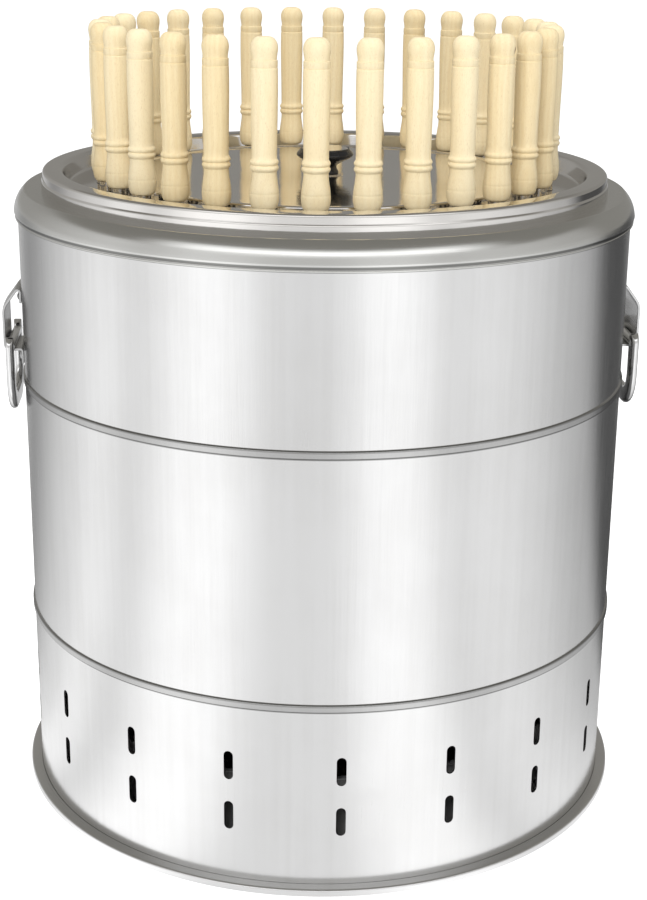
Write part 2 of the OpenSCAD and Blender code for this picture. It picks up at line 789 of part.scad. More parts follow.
module charcoal_basket() {
    pitch = (drum_h - pivot_drop - ear_r - drum_plain) / drum_rows;
    color("dimgray") difference() {
        rotate_extrude() translate([drum_in, drum_z]) square([drum_t, drum_h]);
        for (i = [0:drum_holes - 1], row = [0:drum_rows - 1])
            wall_slot(
                (i + 1 / 2) * 360 / drum_holes,
                drum_r,
                drum_z + drum_plain + (row + 1 / 2) * pitch,
                drum_hole_w,
                drum_hole_l
            );
        for (turn = [0, 180])
            side_hole(turn, pivot_z, bail_r + run_gap, drum_in - cut_over, drum_r + cut_over);
    }
}
module charcoal_grate() {
    pitch = 2 * grate_ring_r / (grate_bars + 1);
    color("dimgray") translate([0, 0, grate_z]) {
        rotate_extrude() translate([grate_ring_r, 0]) circle(r = grate_wire_r);
        for (i = [1:grate_bars]) {
            y = i * pitch - grate_ring_r;
            half = sqrt(grate_ring_r * grate_ring_r - y * y);
            translate([0, y, 0]) rotate([0, 90, 0]) cylinder(h = 2 * half, r = grate_wire_r, center = true);
        }
    }
}
module basket_feet() {
    color("dimgray") for (i = [1:drum_feet])
        around(i * 360 / drum_feet, drum_in - snug_gap - drum_foot_r, pan_floor_z)
            cylinder(h = drum_feet_h + drum_foot_rise, r = drum_foot_r);
}
module basket_ears() {
    color("gray") for (turn = [0, 180]) rotate([0, 0, turn]) difference() {
        translate([drum_r, 0, pivot_z]) rotate([0, 90, 0]) cylinder(h = ear_t, r = ear_r);
        side_hole(0, pivot_z, bail_r + run_gap, drum_r - cut_over, ear_face + cut_over);
    }
}
module basket_bail() {
    pin_l = bail_ring_r - drum_in + bail_r;
    color("silver") translate([0, 0, pivot_z]) {
        rotate_extrude(angle = 180) translate([bail_ring_r, 0]) circle(r = bail_r);
        for (turn = [0, 180]) rotate([0, 0, turn]) {
            translate([bail_ring_r, 0, 0]) sphere(r = bail_r);
            translate([bail_ring_r - pin_l, 0, 0]) rotate([0, 90, 0]) cylinder(h = pin_l, r = bail_r);
        }
    }
}

barrel_wall();
base_ring();
bottom_plate();
shoulder_collar();
left_handle_bracket();
right_handle_bracket();
bracket_rivets();
left_drop_handle();
right_drop_handle();
skewer_tray();
inner_lid();
lid_knob();
knob_cap();
knob_washer();
knob_screw();
drip_pan();
charcoal_basket();
charcoal_grate();
basket_feet();
basket_ears();
basket_bail();
for (i = [1:skewer_count]) skewer(i);
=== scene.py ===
"""Dresses the barrel barbecue grill in spun steel, turned wood and a plain studio.

Sizes are millimetres until a mesh is made, and metres after that. Angles are degrees, measured about
the barrel's axis from the front (-Y) towards +X.
"""

import logging
import math
from dataclasses import dataclass, field
from enum import Enum
from typing import Any, Optional, Sequence, Union

import bmesh
import bpy
import numpy as np
from mathutils import Matrix, Vector


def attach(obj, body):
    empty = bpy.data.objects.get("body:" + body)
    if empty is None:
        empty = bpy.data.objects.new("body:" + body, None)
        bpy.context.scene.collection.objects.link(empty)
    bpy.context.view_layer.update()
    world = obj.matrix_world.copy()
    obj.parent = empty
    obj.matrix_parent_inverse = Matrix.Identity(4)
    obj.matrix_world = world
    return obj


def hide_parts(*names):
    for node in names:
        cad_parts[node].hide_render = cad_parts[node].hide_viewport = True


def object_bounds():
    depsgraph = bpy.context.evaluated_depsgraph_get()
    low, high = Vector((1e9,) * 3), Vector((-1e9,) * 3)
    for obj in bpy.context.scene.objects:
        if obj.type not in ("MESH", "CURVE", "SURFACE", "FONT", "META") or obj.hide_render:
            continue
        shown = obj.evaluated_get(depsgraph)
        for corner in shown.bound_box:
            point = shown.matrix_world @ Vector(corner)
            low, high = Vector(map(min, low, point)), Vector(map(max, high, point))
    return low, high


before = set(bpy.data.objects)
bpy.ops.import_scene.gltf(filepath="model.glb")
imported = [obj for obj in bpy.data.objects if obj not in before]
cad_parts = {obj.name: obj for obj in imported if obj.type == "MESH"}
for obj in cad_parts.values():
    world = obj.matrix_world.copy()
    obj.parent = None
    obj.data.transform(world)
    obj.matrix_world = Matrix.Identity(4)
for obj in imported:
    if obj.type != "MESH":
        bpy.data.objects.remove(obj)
CAD_BOX = [list(corner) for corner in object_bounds()]

LOG = logging.getLogger("grill")
MM = 0.001
SEED = 30
BEND_STEPS = 8
FULL_TURN = 360.0
MERGE_MM = 0.002
SLIVER_MM = 0.0005
TINY = 1e-9
NOISE_MIDDLE = 0.5
WHITE = (1.0, 1.0, 1.0)
Colour = tuple[float, float, float]
Points = Union[np.ndarray, Sequence[Sequence[float]]]


def unit(vector: np.ndarray) -> np.ndarray:
    """The vector divided by its length."""
    return vector / np.linalg.norm(vector)


def arc(centre: Sequence[float], radius: float, start: float, end: float, steps: int) -> np.ndarray:
    """Points on an arc: the centre plus radius times (cosine, sine) of evenly spaced angles.

    Args:
        centre: the arc's centre in the plane.
        radius: its radius.
        start: the first angle.
        end: the last angle.
        steps: the number of steps between them.

    Returns:
        An array of steps + 1 points.
    """
    angles = np.radians(np.linspace(start, end, steps + 1))
    return np.asarray(centre, float) + radius * np.stack([np.cos(angles), np.sin(angles)], axis=1)


def folded(points: Points, radii: Sequence[float], steps: int = BEND_STEPS) -> np.ndarray:
    """A folded line whose inner corners are arcs that touch both of their legs.

    A corner's arc has its centre on the bisector, at radius / sin(half the corner's angle).

    Args:
        points: the line's ends and corners.
        radii: one radius for each inner corner.
        steps: the steps of each arc.

    Returns:
        The points of the rounded line.
    """
    corners = np.asarray(points, float)
    parts = [corners[:1]]
    for before, corner, after, radius in zip(corners[:-2], corners[1:-1], corners[2:], radii):
        back = unit(before - corner)
        ahead = unit(after - corner)
        half = math.acos(float(np.clip(back @ ahead, -1.0, 1.0))) / 2
        centre = corner + unit(back + ahead) * radius / math.sin(half)
        start = corner + back * radius / math.tan(half) - centre
        side = math.copysign(1.0, ahead[0] * back[1] - ahead[1] * back[0])
        first = math.degrees(math.atan2(start[1], start[0]))
        parts.append(arc(centre, radius, first, first + side * (180 - 2 * math.degrees(half)), steps))
    parts.append(corners[-1:])
    return np.concatenate(parts)


def beside(line: np.ndarray, distance: float) -> np.ndarray:
    """The line moved to its left by a distance, with mitred corners.

    Each point moves along the sum of its two legs' normals over one plus their dot product.

    Args:
        line: the points of the line.
        distance: how far it moves; a negative one moves it to the right.

    Returns:
        The points of the moved line.
    """
    legs = np.diff(line, axis=0)
    legs = legs / np.linalg.norm(legs, axis=1, keepdims=True)
    normals = np.stack([-legs[:, 1], legs[:, 0]], axis=1)
    before = np.concatenate([normals[:1], normals])
    after = np.concatenate([normals, normals[-1:]])
    mitre = 1 + np.sum(before * after, axis=1, keepdims=True)
    return line + distance * (before + after) / mitre


def sheet(points: Points, radii: Sequence[float], thickness: float) -> np.ndarray:
    """The closed section of a sheet of that thickness along a folded line."""
    line = folded(points, radii)
    return np.concatenate([beside(line, thickness / 2), beside(line, -thickness / 2)[::-1]])


def hemmed_sheet(points: Points, radii: Sequence[float], thickness: float, hem_r: float) -> np.ndarray:
    """The closed section of a sheet along a folded line, with a round hem rolled at its start.

    The hem's arc runs about the line's start from one skin to the other, which it meets where half the
    thickness is the sine of the angle to the line times the hem's radius.

    Args:
        points: the line's ends and corners; the first is the middle of the hem.
        radii: one radius for each inner corner.
        thickness: the sheet's thickness.
        hem_r: the hem's radius.

    Returns:
        The section's points in order.
    """
    line = folded(points, radii)
    left, right = beside(line, thickness / 2), beside(line, -thickness / 2)
    ahead = line[1] - line[0]
    turn = math.degrees(math.atan2(ahead[1], ahead[0]))
    half = math.degrees(math.asin(thickness / 2 / hem_r))
    hem = arc(line[0], hem_r, turn - half, turn + half - FULL_TURN, 2 * BEND_STEPS)
    return np.concatenate([left[1:], right[:0:-1], hem])


def swell(start: Sequence[float], end: Sequence[float], steps: int = 2 * BEND_STEPS) -> np.ndarray:
    """A turned curve, flat at both ends: the radius eases from start to end by half a cosine wave.

    Args:
        start: radius and height where the curve begins.
        end: radius and height where it ends.
        steps: the number of points after the start.

    Returns:
        The points after the start.
    """
    share = np.linspace(0, 1, steps + 1)[1:]
    radius = start[0] + (end[0] - start[0]) * (1 - np.cos(np.pi * share)) / 2
    return np.stack([radius, start[1] + (end[1] - start[1]) * share], axis=1)


def half_round(low: float, high: float, start: float, end: float, steps: int = BEND_STEPS) -> np.ndarray:
    """A half-round ring between two heights: the radius rises from low to high by half a sine wave."""
    share = np.linspace(0, 1, steps + 1)
    return np.stack([low + (high - low) * np.sin(np.pi * share), start + (end - start) * share], axis=1)


def around(radius: Any, angle: Any, height: Any) -> np.ndarray:
    """Points about the barrel's axis: (radius sin angle, -radius cos angle, height).

    Args:
        radius: distance from the axis, as a number or an array.
        angle: angle from the front, in degrees.
        height: height above the ground.

    Returns:
        An array of points with the shape of the arguments and a last axis of 3.
    """
    radius, angle, height = np.broadcast_arrays(radius, np.radians(angle), height)
    return np.stack([radius * np.sin(angle), -radius * np.cos(angle), height], axis=-1).astype(float)


@dataclass
class Surface:
    """A mesh on its way: points in millimetres and faces as lists of their numbers."""

    points: np.ndarray
    faces: list

    @classmethod
    def grid(cls, points: np.ndarray, wrap_rows: bool = False, wrap_columns: bool = False) -> "Surface":
        """Quads over a grid of points, with the last row or column joined to the first where asked.

        Args:
            points: an array of rows by columns by 3.
            wrap_rows: joins the last row to the first.
            wrap_columns: joins the last column to the first.

        Returns:
            The surface over the grid.
        """
        rows, columns = points.shape[:2]
        number = np.arange(rows * columns).reshape(rows, columns)
        if wrap_rows:
            number = np.concatenate([number, number[:1]])
        if wrap_columns:
            number = np.concatenate([number, number[:, :1]], axis=1)
        corners = [number[:-1, :-1], number[:-1, 1:], number[1:, 1:], number[1:, :-1]]
        quads = np.stack(corners, axis=-1).reshape(-1, 4)
        return cls(points.reshape(-1, 3), quads.tolist())

    @classmethod
    def joined(cls, parts: Sequence["Surface"]) -> "Surface":
        """Several surfaces as one, with their faces renumbered.

        Args:
            parts: the surfaces.

        Returns:
            The one surface.
        """
        starts = np.cumsum([0] + [len(part.points) for part in parts])
        faces = [[int(start) + n for n in face] for part, start in zip(parts, starts) for face in part.faces]
        return cls(np.concatenate([part.points for part in parts]), faces)

    @classmethod
    def tube(cls, points: np.ndarray) -> "Surface":
        """A closed section in each row of points, carried from row to row and closed by two end faces.

        Args:
            points: an array of rows by columns by 3.

        Returns:
            The closed surface.
        """
        surface = cls.grid(points, wrap_columns=True)
        number = np.arange(points.shape[0] * points.shape[1]).reshape(points.shape[:2])
        surface.faces += [number[0].tolist(), number[-1][::-1].tolist()]
        return surface

    @classmethod
    def turned(
        cls, section: np.ndarray, steps: int, start: float = 0.0, sweep: float = FULL_TURN
    ) -> "Surface":
        """A closed section of (radius, height) turned about the axis, with end faces on a part turn.

        Args:
            section: the section's corners in order.
            steps: the number of steps round.
            start: the first angle.
            sweep: the angle swept.

        Returns:
            The closed surface.
        """
        whole = sweep >= FULL_TURN
        angles = np.linspace(start, start + sweep, steps + 1)
        angles = angles[:-1] if whole else angles
        points = around(section[:, :1], angles[None, :], section[:, 1:])
        surface = cls.grid(points, wrap_rows=True, wrap_columns=whole)
        if not whole:
            ends = np.arange(points.shape[0] * points.shape[1]).reshape(points.shape[:2])
            surface.faces += [ends[:, 0].tolist(), ends[::-1, -1].tolist()]
        return surface

    def moved(self, step: Sequence[float]) -> "Surface":
        """The surface moved by a step."""
        return Surface(self.points + np.asarray(step, float), self.faces)

    def turned_by(self, angle: float) -> "Surface":
        """The surface turned about the barrel's axis by an angle.

        Args:
            angle: the angle, from the front towards +X.

        Returns:
            The turned surface.
        """
        cosine, sine = math.cos(math.radians(angle)), math.sin(math.radians(angle))
        turn = np.array([[cosine, sine, 0], [-sine, cosine, 0], [0, 0, 1]])
        return Surface(self.points @ turn, self.faces)


@dataclass
class Piece:
    """One finished object of the grill: its surface, its finish and the CAD nodes that it stands for."""

    name: str
    body: str
    slot: str
    nodes: Sequence[str]
    material: bpy.types.Material
    crease: float = 32.0
    bevel: float = 0.0
    bevel_steps: int = 2

    def from_surface(self, surface: Surface, fields: Optional[dict] = None) -> bpy.types.Object:
        """Makes the object from a surface: doubles merged, faces turned outwards, creases kept sharp.

        Args:
            surface: the surface in millimetres.
            fields: point attributes by name, as arrays of one or three values for each point.

        Returns:
            The object, riding on its body.
        """
        mesh = bpy.data.meshes.new(self.name)
        mesh.from_pydata((surface.points * MM).tolist(), [], surface.faces)
        for name, values in (fields or {}).items():
            kind, key = ("FLOAT", "value") if values.ndim == 1 else ("FLOAT_VECTOR", "vector")
            layer = mesh.attributes.new(name, kind, "POINT")
            layer.data.foreach_set(key, values.astype(np.float32).ravel())
        self._heal(mesh, outwards=True)
        return self._place(mesh)

    def from_node(self) -> bpy.types.Object:
        """Makes the object from a merged copy of its CAD node, so that round faces shade smoothly.

        Returns:
            The object, riding on its body.
        """
        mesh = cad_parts[self.nodes[0]].data.copy()
        mesh.name = self.name
        mesh.materials.clear()
        self._heal(mesh, outwards=False)
        return self._place(mesh)

    def _heal(self, mesh: bpy.types.Mesh, outwards: bool) -> None:
        """Merges doubles, drops faces without area and turns the faces outwards where asked.

        Args:
            mesh: the mesh, which is changed.
            outwards: turns the faces outwards.
        """
        work = bmesh.new()
        work.from_mesh(mesh)
        bmesh.ops.remove_doubles(work, verts=work.verts, dist=MERGE_MM * MM)
        bmesh.ops.dissolve_degenerate(work, edges=work.edges, dist=SLIVER_MM * MM)
        if outwards:
            bmesh.ops.recalc_face_normals(work, faces=work.faces)
        work.to_mesh(mesh)
        work.free()

    def _place(self, mesh: bpy.types.Mesh) -> bpy.types.Object:
        """Shades the mesh, gives it its finish and lets it ride on its body.

        Args:
            mesh: the healed mesh.

        Returns:
            The object.
        """
        mesh.shade_smooth()
        mesh.set_sharp_from_angle(angle=math.radians(self.crease))
        mesh.materials.append(self.material)
        obj = bpy.data.objects.new(self.name, mesh)
        bpy.context.scene.collection.objects.link(obj)
        if self.bevel:
            edge = obj.modifiers.new("edge", "BEVEL")
            edge.width = self.bevel * MM
            edge.segments = self.bevel_steps
            edge.limit_method = "ANGLE"
            edge.angle_limit = math.radians(self.crease)
        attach(obj, self.body)
        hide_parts(*self.nodes)
        LOG.info("%s: %d faces on %s", self.name, len(mesh.polygons), self.body)
        return obj


@dataclass
class Assembly:
    """A sub-assembly of the grill, which makes its pieces in the finishes of their slots."""

    finishes: dict[str, bpy.types.Material]

    def piece(self, name: str, body: str, slot: str, node: str, **edges: float) -> Piece:
        """A piece in the finish of its slot that stands for one CAD node.

        Args:
            name: the piece's name.
            body: the body that it rides on.
            slot: its material slot.
            node: the CAD node that it stands for.
            edges: its crease and bevel, where they aren't the usual ones.

        Returns:
            The piece, still without a mesh.
        """
        return Piece(name, body, slot, [node], self.finishes[slot], **edges)


Input = Union["Socket", float, Sequence[float]]


class Socket:
    """One output of a shader node, with arithmetic that adds Math nodes."""

    def __init__(self, graph: "Graph", output: bpy.types.NodeSocket) -> None:
        """Keeps the output and the graph that it belongs to."""
        self.graph = graph
        self.output = output

    def __add__(self, other: Input) -> "Socket":
        """This value plus another."""
        return self.graph.math("ADD", self, other)

    def __sub__(self, other: Input) -> "Socket":
        """This value less another."""
        return self.graph.math("SUBTRACT", self, other)

    def __rsub__(self, other: Input) -> "Socket":
        """Another value less this one."""
        return self.graph.math("SUBTRACT", other, self)

    def __mul__(self, other: Input) -> "Socket":
        """This value times another."""
        return self.graph.math("MULTIPLY", self, other)

    def __pow__(self, other: Input) -> "Socket":
        """This value to a power."""
        return self.graph.math("POWER", self, other)

    __radd__ = __add__
    __rmul__ = __mul__


class Graph:
    """The node tree of one material or world, built by expressions."""

    def __init__(self, tree: bpy.types.NodeTree) -> None:
        """Empties the tree."""
        self.tree = tree
        tree.nodes.clear()

    def node(self, kind: str, settings: Optional[dict] = None, **inputs: Input) -> bpy.types.Node:
        """Adds a node: its settings first, then the values or links of its sockets.

        Args:
            kind: the node's type.
            settings: its properties by name.
            inputs: values or sockets by the input's name, with _ for a space, or by number as in_0.

        Returns:
            The new node.
        """
        node = self.tree.nodes.new(kind)
        for name, value in (settings or {}).items():
            setattr(node, name, value)
        for name, value in inputs.items():
            key = int(name[3:]) if name.startswith("in_") else name.replace("_", " ")
            self.feed(node.inputs[key], value)
        return node

    def feed(self, target: bpy.types.NodeSocket, value: Input) -> None:
        """Links a socket to an input, or sets the input's own value.

        Args:
            target: the input.
            value: the socket or the value.
        """
        if isinstance(value, Socket):
            self.tree.links.new(value.output, target)
        elif isinstance(value, (tuple, list)) and len(value) == 3 and target.type == "RGBA":
            target.default_value = (*value, 1.0)
        else:
            target.default_value = value

    def out(self, node: bpy.types.Node, name: Union[str, int] = 0) -> Socket:
        """One output of a node."""
        return Socket(self, node.outputs[name])

    def math(self, operation: str, first: Input, second: Input = 0.0) -> Socket:
        """A Math node on one or two values."""
        return self.out(self.node("ShaderNodeMath", {"operation": operation}, in_0=first, in_1=second))

    def between(self, value: Input, low: float, high: float, from_low: float, from_high: float) -> Socket:
        """A value taken smoothly from one range to another and held at its ends.

        Args:
            value: the value.
            low: the result at from_low.
            high: the result at from_high.
            from_low: where the rise begins.
            from_high: where it ends.

        Returns:
            The new value.
        """
        settings = {"interpolation_type": "SMOOTHSTEP"}
        spread = {"Value": value, "From_Min": from_low, "From_Max": from_high, "To_Min": low, "To_Max": high}
        return self.out(self.node("ShaderNodeMapRange", settings, **spread))

    def colours(self, share: Input, first: Input, second: Input) -> Socket:
        """Two colours mixed by a share."""
        node = self.node("ShaderNodeMix", {"data_type": "RGBA"}, in_0=share, in_6=first, in_7=second)
        return self.out(node, 2)

    def vectors(self, operation: str, first: Input, second: Input) -> Socket:
        """A Vector Math node on two vectors."""
        return self.out(self.node("ShaderNodeVectorMath", {"operation": operation}, in_0=first, in_1=second))

    def vector(self, x: Input, y: Input, z: Input) -> Socket:
        """Three values as one vector."""
        return self.out(self.node("ShaderNodeCombineXYZ", X=x, Y=y, Z=z))

    def parts(self, vector: Input) -> tuple[Socket, Socket, Socket]:
        """A vector as three values."""
        node = self.node("ShaderNodeSeparateXYZ", Vector=vector)
        return self.out(node, "X"), self.out(node, "Y"), self.out(node, "Z")

    def here(self) -> Socket:
        """The point in the object's own frame, in metres."""
        return self.out(self.node("ShaderNodeTexCoord"), "Object")

    def field(self, name: str) -> bpy.types.Node:
        """The piece's own attribute of that name."""
        return self.node("ShaderNodeAttribute", {"attribute_name": name})

    def bump(self, height: Input, strength: float, distance: float) -> Socket:
        """A normal bent by a height."""
        node = self.node("ShaderNodeBump", Strength=strength, Distance=distance, Height=height)
        return self.out(node)


def new_graph(name: str) -> tuple[bpy.types.Material, Graph]:
    """A new material and its empty graph.

    Args:
        name: the material's name.

    Returns:
        The material and the graph.
    """
    material = bpy.data.materials.new(name)
    material.use_nodes = True
    return material, Graph(material.node_tree)


class Lay(Enum):
    """The way in which the polishing marks of a sheet run."""

    UPRIGHT = "along the axis"
    ROUND = "round the axis"
    CLOUDY = "in no direction"


@dataclass(frozen=True)
class Noise:
    """The settings of a noise texture, with the axes of the place stretched first where asked."""

    scale: float
    detail: float = 2.0
    rough: float = 0.5
    stretch: Optional[Colour] = None

    def at(self, graph: Graph, place: Input) -> Socket:
        """The noise at a place.

        Args:
            graph: the graph to add to.
            place: where the noise is read.

        Returns:
            A value from about 0.3 to 0.7.
        """
        if self.stretch:
            place = graph.vectors("MULTIPLY", place, self.stretch)
        spread = {"Vector": place, "Scale": self.scale, "Detail": self.detail, "Roughness": self.rough}
        return graph.out(graph.node("ShaderNodeTexNoise", **spread))


@dataclass(frozen=True)
class Finish:
    """A finish of the grill, named after its slot."""

    name: str

    def inputs(self, graph: Graph) -> dict[str, Input]:
        """The inputs of the finish's shader, which every kind of finish works out for itself.

        Args:
            graph: the graph to add to.

        Returns:
            The values or sockets by the inputs' names, with _ for a space.
        """
        raise NotImplementedError

    def material(self) -> bpy.types.Material:
        """The finish as a material that ends in one Principled shader.

        Returns:
            The material.
        """
        material, graph = new_graph(self.name)
        shader = graph.node("ShaderNodeBsdfPrincipled", **self.inputs(graph))
        graph.node("ShaderNodeOutputMaterial", Surface=graph.out(shader))
        return material


@dataclass(frozen=True)
class Steel(Finish):
    """Sheet steel with polishing marks, faint stains and painted shade at seams of (height, reach, depth)."""

    colour: Colour
    roughness: float
    lay: Lay
    marks: float = 0.06
    stains: float = 0.05
    relief: float = 0.08
    wave: float = 0.0
    tint: Colour = (0.62, 0.61, 0.6)
    tint_share: float = 0.25
    metal: float = 1.0
    seams: tuple = ()
    seam_core: float = 0.4
    # the colour of the painted shade at the seams
    painted_shade_colour: Colour = (0.09, 0.09, 0.085)
    upright: Colour = (1.0, 1.0, 0.02)
    round_share: float = 0.01
    fine: Noise = Noise(1400.0, 3.0, 0.6)
    fine_relief: float = 0.6
    broad: Noise = Noise(160.0)
    broad_stain: float = 0.6
    cloud: Noise = Noise(14.0, 4.0, 0.55)
    stained: tuple = (0.0, 1.0, -0.22, 0.3)
    bump_m: float = 0.0004

    def _painted_shade_share(self, graph: Graph) -> Socket:
        """How much painted shade darkens the sheet at a height: most in the middle of each seam.

        Args:
            graph: the graph to add to.

        Returns:
            The share of soil, from 0 to 1.
        """
        _, _, z = graph.parts(graph.here())
        painted_shade_share: Input = 0.0
        for height, reach, depth in self.seams:
            away = graph.math("ABSOLUTE", z - height * MM)
            seam = graph.between(away, depth, 0.0, reach * MM * self.seam_core, reach * MM)
            painted_shade_share = graph.math("MAXIMUM", painted_shade_share, seam)
        return painted_shade_share

    def _marks_at(self, graph: Graph) -> Socket:
        """The place in which the marks' noise is read: fine across the marks and stretched along them.

        Args:
            graph: the graph to add to.

        Returns:
            The place.
        """
        here = graph.here()
        if self.lay is Lay.UPRIGHT:
            return graph.vectors("MULTIPLY", here, self.upright)
        if self.lay is Lay.ROUND:
            x, y, z = graph.parts(here)
            radius = (x * x + y * y) ** 0.5
            return graph.vector(radius, z, (x + y) * self.round_share)
        return here

    def inputs(self, graph: Graph) -> dict[str, Input]:
        """A metal whose roughness, colour and relief follow fine marks and broad stains.

        Args:
            graph: the graph to add to.

        Returns:
            The shader's inputs.
        """
        marks_at = self._marks_at(graph)
        fine = self.fine.at(graph, marks_at) - NOISE_MIDDLE
        broad = self.broad.at(graph, marks_at) - NOISE_MIDDLE
        cloud = self.cloud.at(graph, graph.here()) - NOISE_MIDDLE
        stained = graph.between(cloud + broad * self.broad_stain, *self.stained)
        dull = graph.colours(self.tint_share, self.colour, self.tint)
        colour = graph.colours(stained, self.colour, dull)
        if self.seams:
            # painted shade: the colour darkens towards the middle of each seam
            colour = graph.colours(self._painted_shade_share(graph), colour, self.painted_shade_colour)
        height = fine * self.fine_relief + broad + cloud * self.wave
        return {
            "Base_Color": colour,
            "Metallic": self.metal,
            "Roughness": self.roughness + fine * (2 * self.marks) + cloud * (2 * self.stains),
            "Normal": graph.bump(height, self.relief, self.bump_m),
        }


@dataclass(frozen=True)
class HeatTintedSteel(Finish):
    """Bare steel that has been near the fire: straw tints with a film of soot."""

    colour: Colour
    straw: Colour
    soot: Colour
    roughness: float = 0.38
    cloud: Noise = Noise(22.0, 4.0)
    tinted: tuple = (0.0, 0.8, 0.38, 0.62)
    film: Noise = Noise(60.0, 5.0, 0.6)
    sooty: tuple = (0.0, 0.75, 0.48, 0.66)
    soot_rough: float = 0.4
    soot_matt: float = 0.7
    grit: Noise = Noise(900.0, 3.0)
    grit_rough: float = 0.2
    relief: float = 0.15
    bump_m: float = 0.0003

    def inputs(self, graph: Graph) -> dict[str, Input]:
        """A metal with tinted clouds, and soot where a second noise is high.

        Args:
            graph: the graph to add to.

        Returns:
            The shader's inputs.
        """
        here = graph.here()
        grit = self.grit.at(graph, here)
        tinted = graph.between(self.cloud.at(graph, here), *self.tinted)
        sooty = graph.between(self.film.at(graph, here), *self.sooty)
        colour = graph.colours(tinted, self.colour, self.straw)
        return {
            "Base_Color": graph.colours(sooty, colour, self.soot),
            "Metallic": 1.0 - sooty * self.soot_matt,
            "Roughness": self.roughness + sooty * self.soot_rough + (grit - NOISE_MIDDLE) * self.grit_rough,
            "Normal": graph.bump(grit, self.relief, self.bump_m),
        }


@dataclass(frozen=True)
class TurnedWood(Finish):
    """Pale turned hardwood: fibres along the handle, faint rings, a tone of its own and now and then a knot.

    It reads three attributes of the piece: grain, the place in the handle's own frame in millimetres;
    tone, from 0 to 1; and knot, from 0 to 1.
    """

    pale: Colour
    warm: Colour
    fibre: Colour
    knot: Colour
    roughness: float = 0.5
    specular: float = 0.42
    tone_share: float = 0.6
    drift: Noise = Noise(1.0, stretch=(0.05, 0.05, 0.012))
    drift_mm: float = 9.0
    pith_at: tuple = (-9.0, 5.0)
    ring_rate: float = 2.1
    ring_share: float = 0.18
    ring_gloss: float = 0.04
    fibres: Noise = Noise(2.2, 4.0, 0.65, (1.0, 1.0, 0.05))
    fibre_share: float = 0.9
    fibre_rough: float = 0.3
    pores: Noise = Noise(4.5, stretch=(1.0, 1.0, 0.12))
    pore_relief: float = 0.4
    dark: tuple = (0.0, 0.55, 0.58, 0.72)
    knotted: tuple = (0.0, 0.85, 0.25, 0.8)
    relief: float = 0.18
    bump_m: float = 0.0004

    def inputs(self, graph: Graph) -> dict[str, Input]:
        """A wood whose colour goes from pale to warm by tone and rings, with darker fibres.

        Args:
            graph: the graph to add to.

        Returns:
            The shader's inputs.
        """
        grain = graph.out(graph.field("grain"), "Vector")
        tone, knot = (graph.out(graph.field(name), "Fac") for name in ("tone", "knot"))
        drift = self.drift.at(graph, grain) * self.drift_mm
        fibres, pores = self.fibres.at(graph, grain), self.pores.at(graph, grain)
        x, y, _ = graph.parts(grain)
        across, back = x - self.pith_at[0], y - self.pith_at[1]
        pith = (across * across + back * back) ** 0.5
        rings = graph.math("SINE", (pith + drift) * self.ring_rate) * 0.5 + 0.5
        strands = fibres - NOISE_MIDDLE
        warmth = tone * self.tone_share + rings * self.ring_share + strands * self.fibre_share
        colour = graph.colours(graph.between(warmth, 0.0, 1.0, 0.0, 1.0), self.pale, self.warm)
        colour = graph.colours(graph.between(pores, *self.dark), colour, self.fibre)
        colour = graph.colours(graph.between(knot, *self.knotted), colour, self.knot)
        return {
            "Base_Color": colour,
            "Roughness": self.roughness + strands * self.fibre_rough - rings * self.ring_gloss,
            "Normal": graph.bump(fibres + pores * self.pore_relief, self.relief, self.bump_m),
            "Specular_IOR_Level": self.specular,
        }


@dataclass(frozen=True)
class GlossMoulding(Finish):
    """Dark moulded plastic with a faint ripple under its gloss."""

    colour: Colour
    worn: Colour
    roughness: float = 0.14
    marks: Noise = Noise(700.0, 4.0, 0.65)
    marks_rough: float = 0.16
    marked: tuple = (0.0, 0.5, 0.5, 0.75)
    ripple: Noise = Noise(120.0)
    relief: float = 0.05
    bump_m: float = 0.0005

    def inputs(self, graph: Graph) -> dict[str, Input]:
        """A gloss whose roughness follows fine handling marks.

        Args:
            graph: the graph to add to.

        Returns:
            The shader's inputs.
        """
        here = graph.here()
        marks = self.marks.at(graph, here)
        return {
            "Base_Color": graph.colours(graph.between(marks, *self.marked), self.colour, self.worn),
            "Roughness": self.roughness + (marks - NOISE_MIDDLE) * self.marks_rough,
            "Normal": graph.bump(self.ripple.at(graph, here), self.relief, self.bump_m),
        }


# Seams of painted shade: at the beads' edges and across their middle, in the collar's neck and over its hem.
BEAD_SEAMS = ((-2.4, 1.2, 0.72), (-0.3, 2.6, 0.36), (1.8, 1.2, 0.58))
NECK_SEAMS = ((0.2, 1.3, 0.78),)
HEM_SEAMS = ((0.2, 0.6, 0.25),)


def seams_over(height: float, seams: Sequence[tuple]) -> tuple:
    """Seams of (rise over a height, reach, depth) as seams of (height, reach, depth)."""
    return tuple((height + rise, reach, depth) for rise, reach, depth in seams)


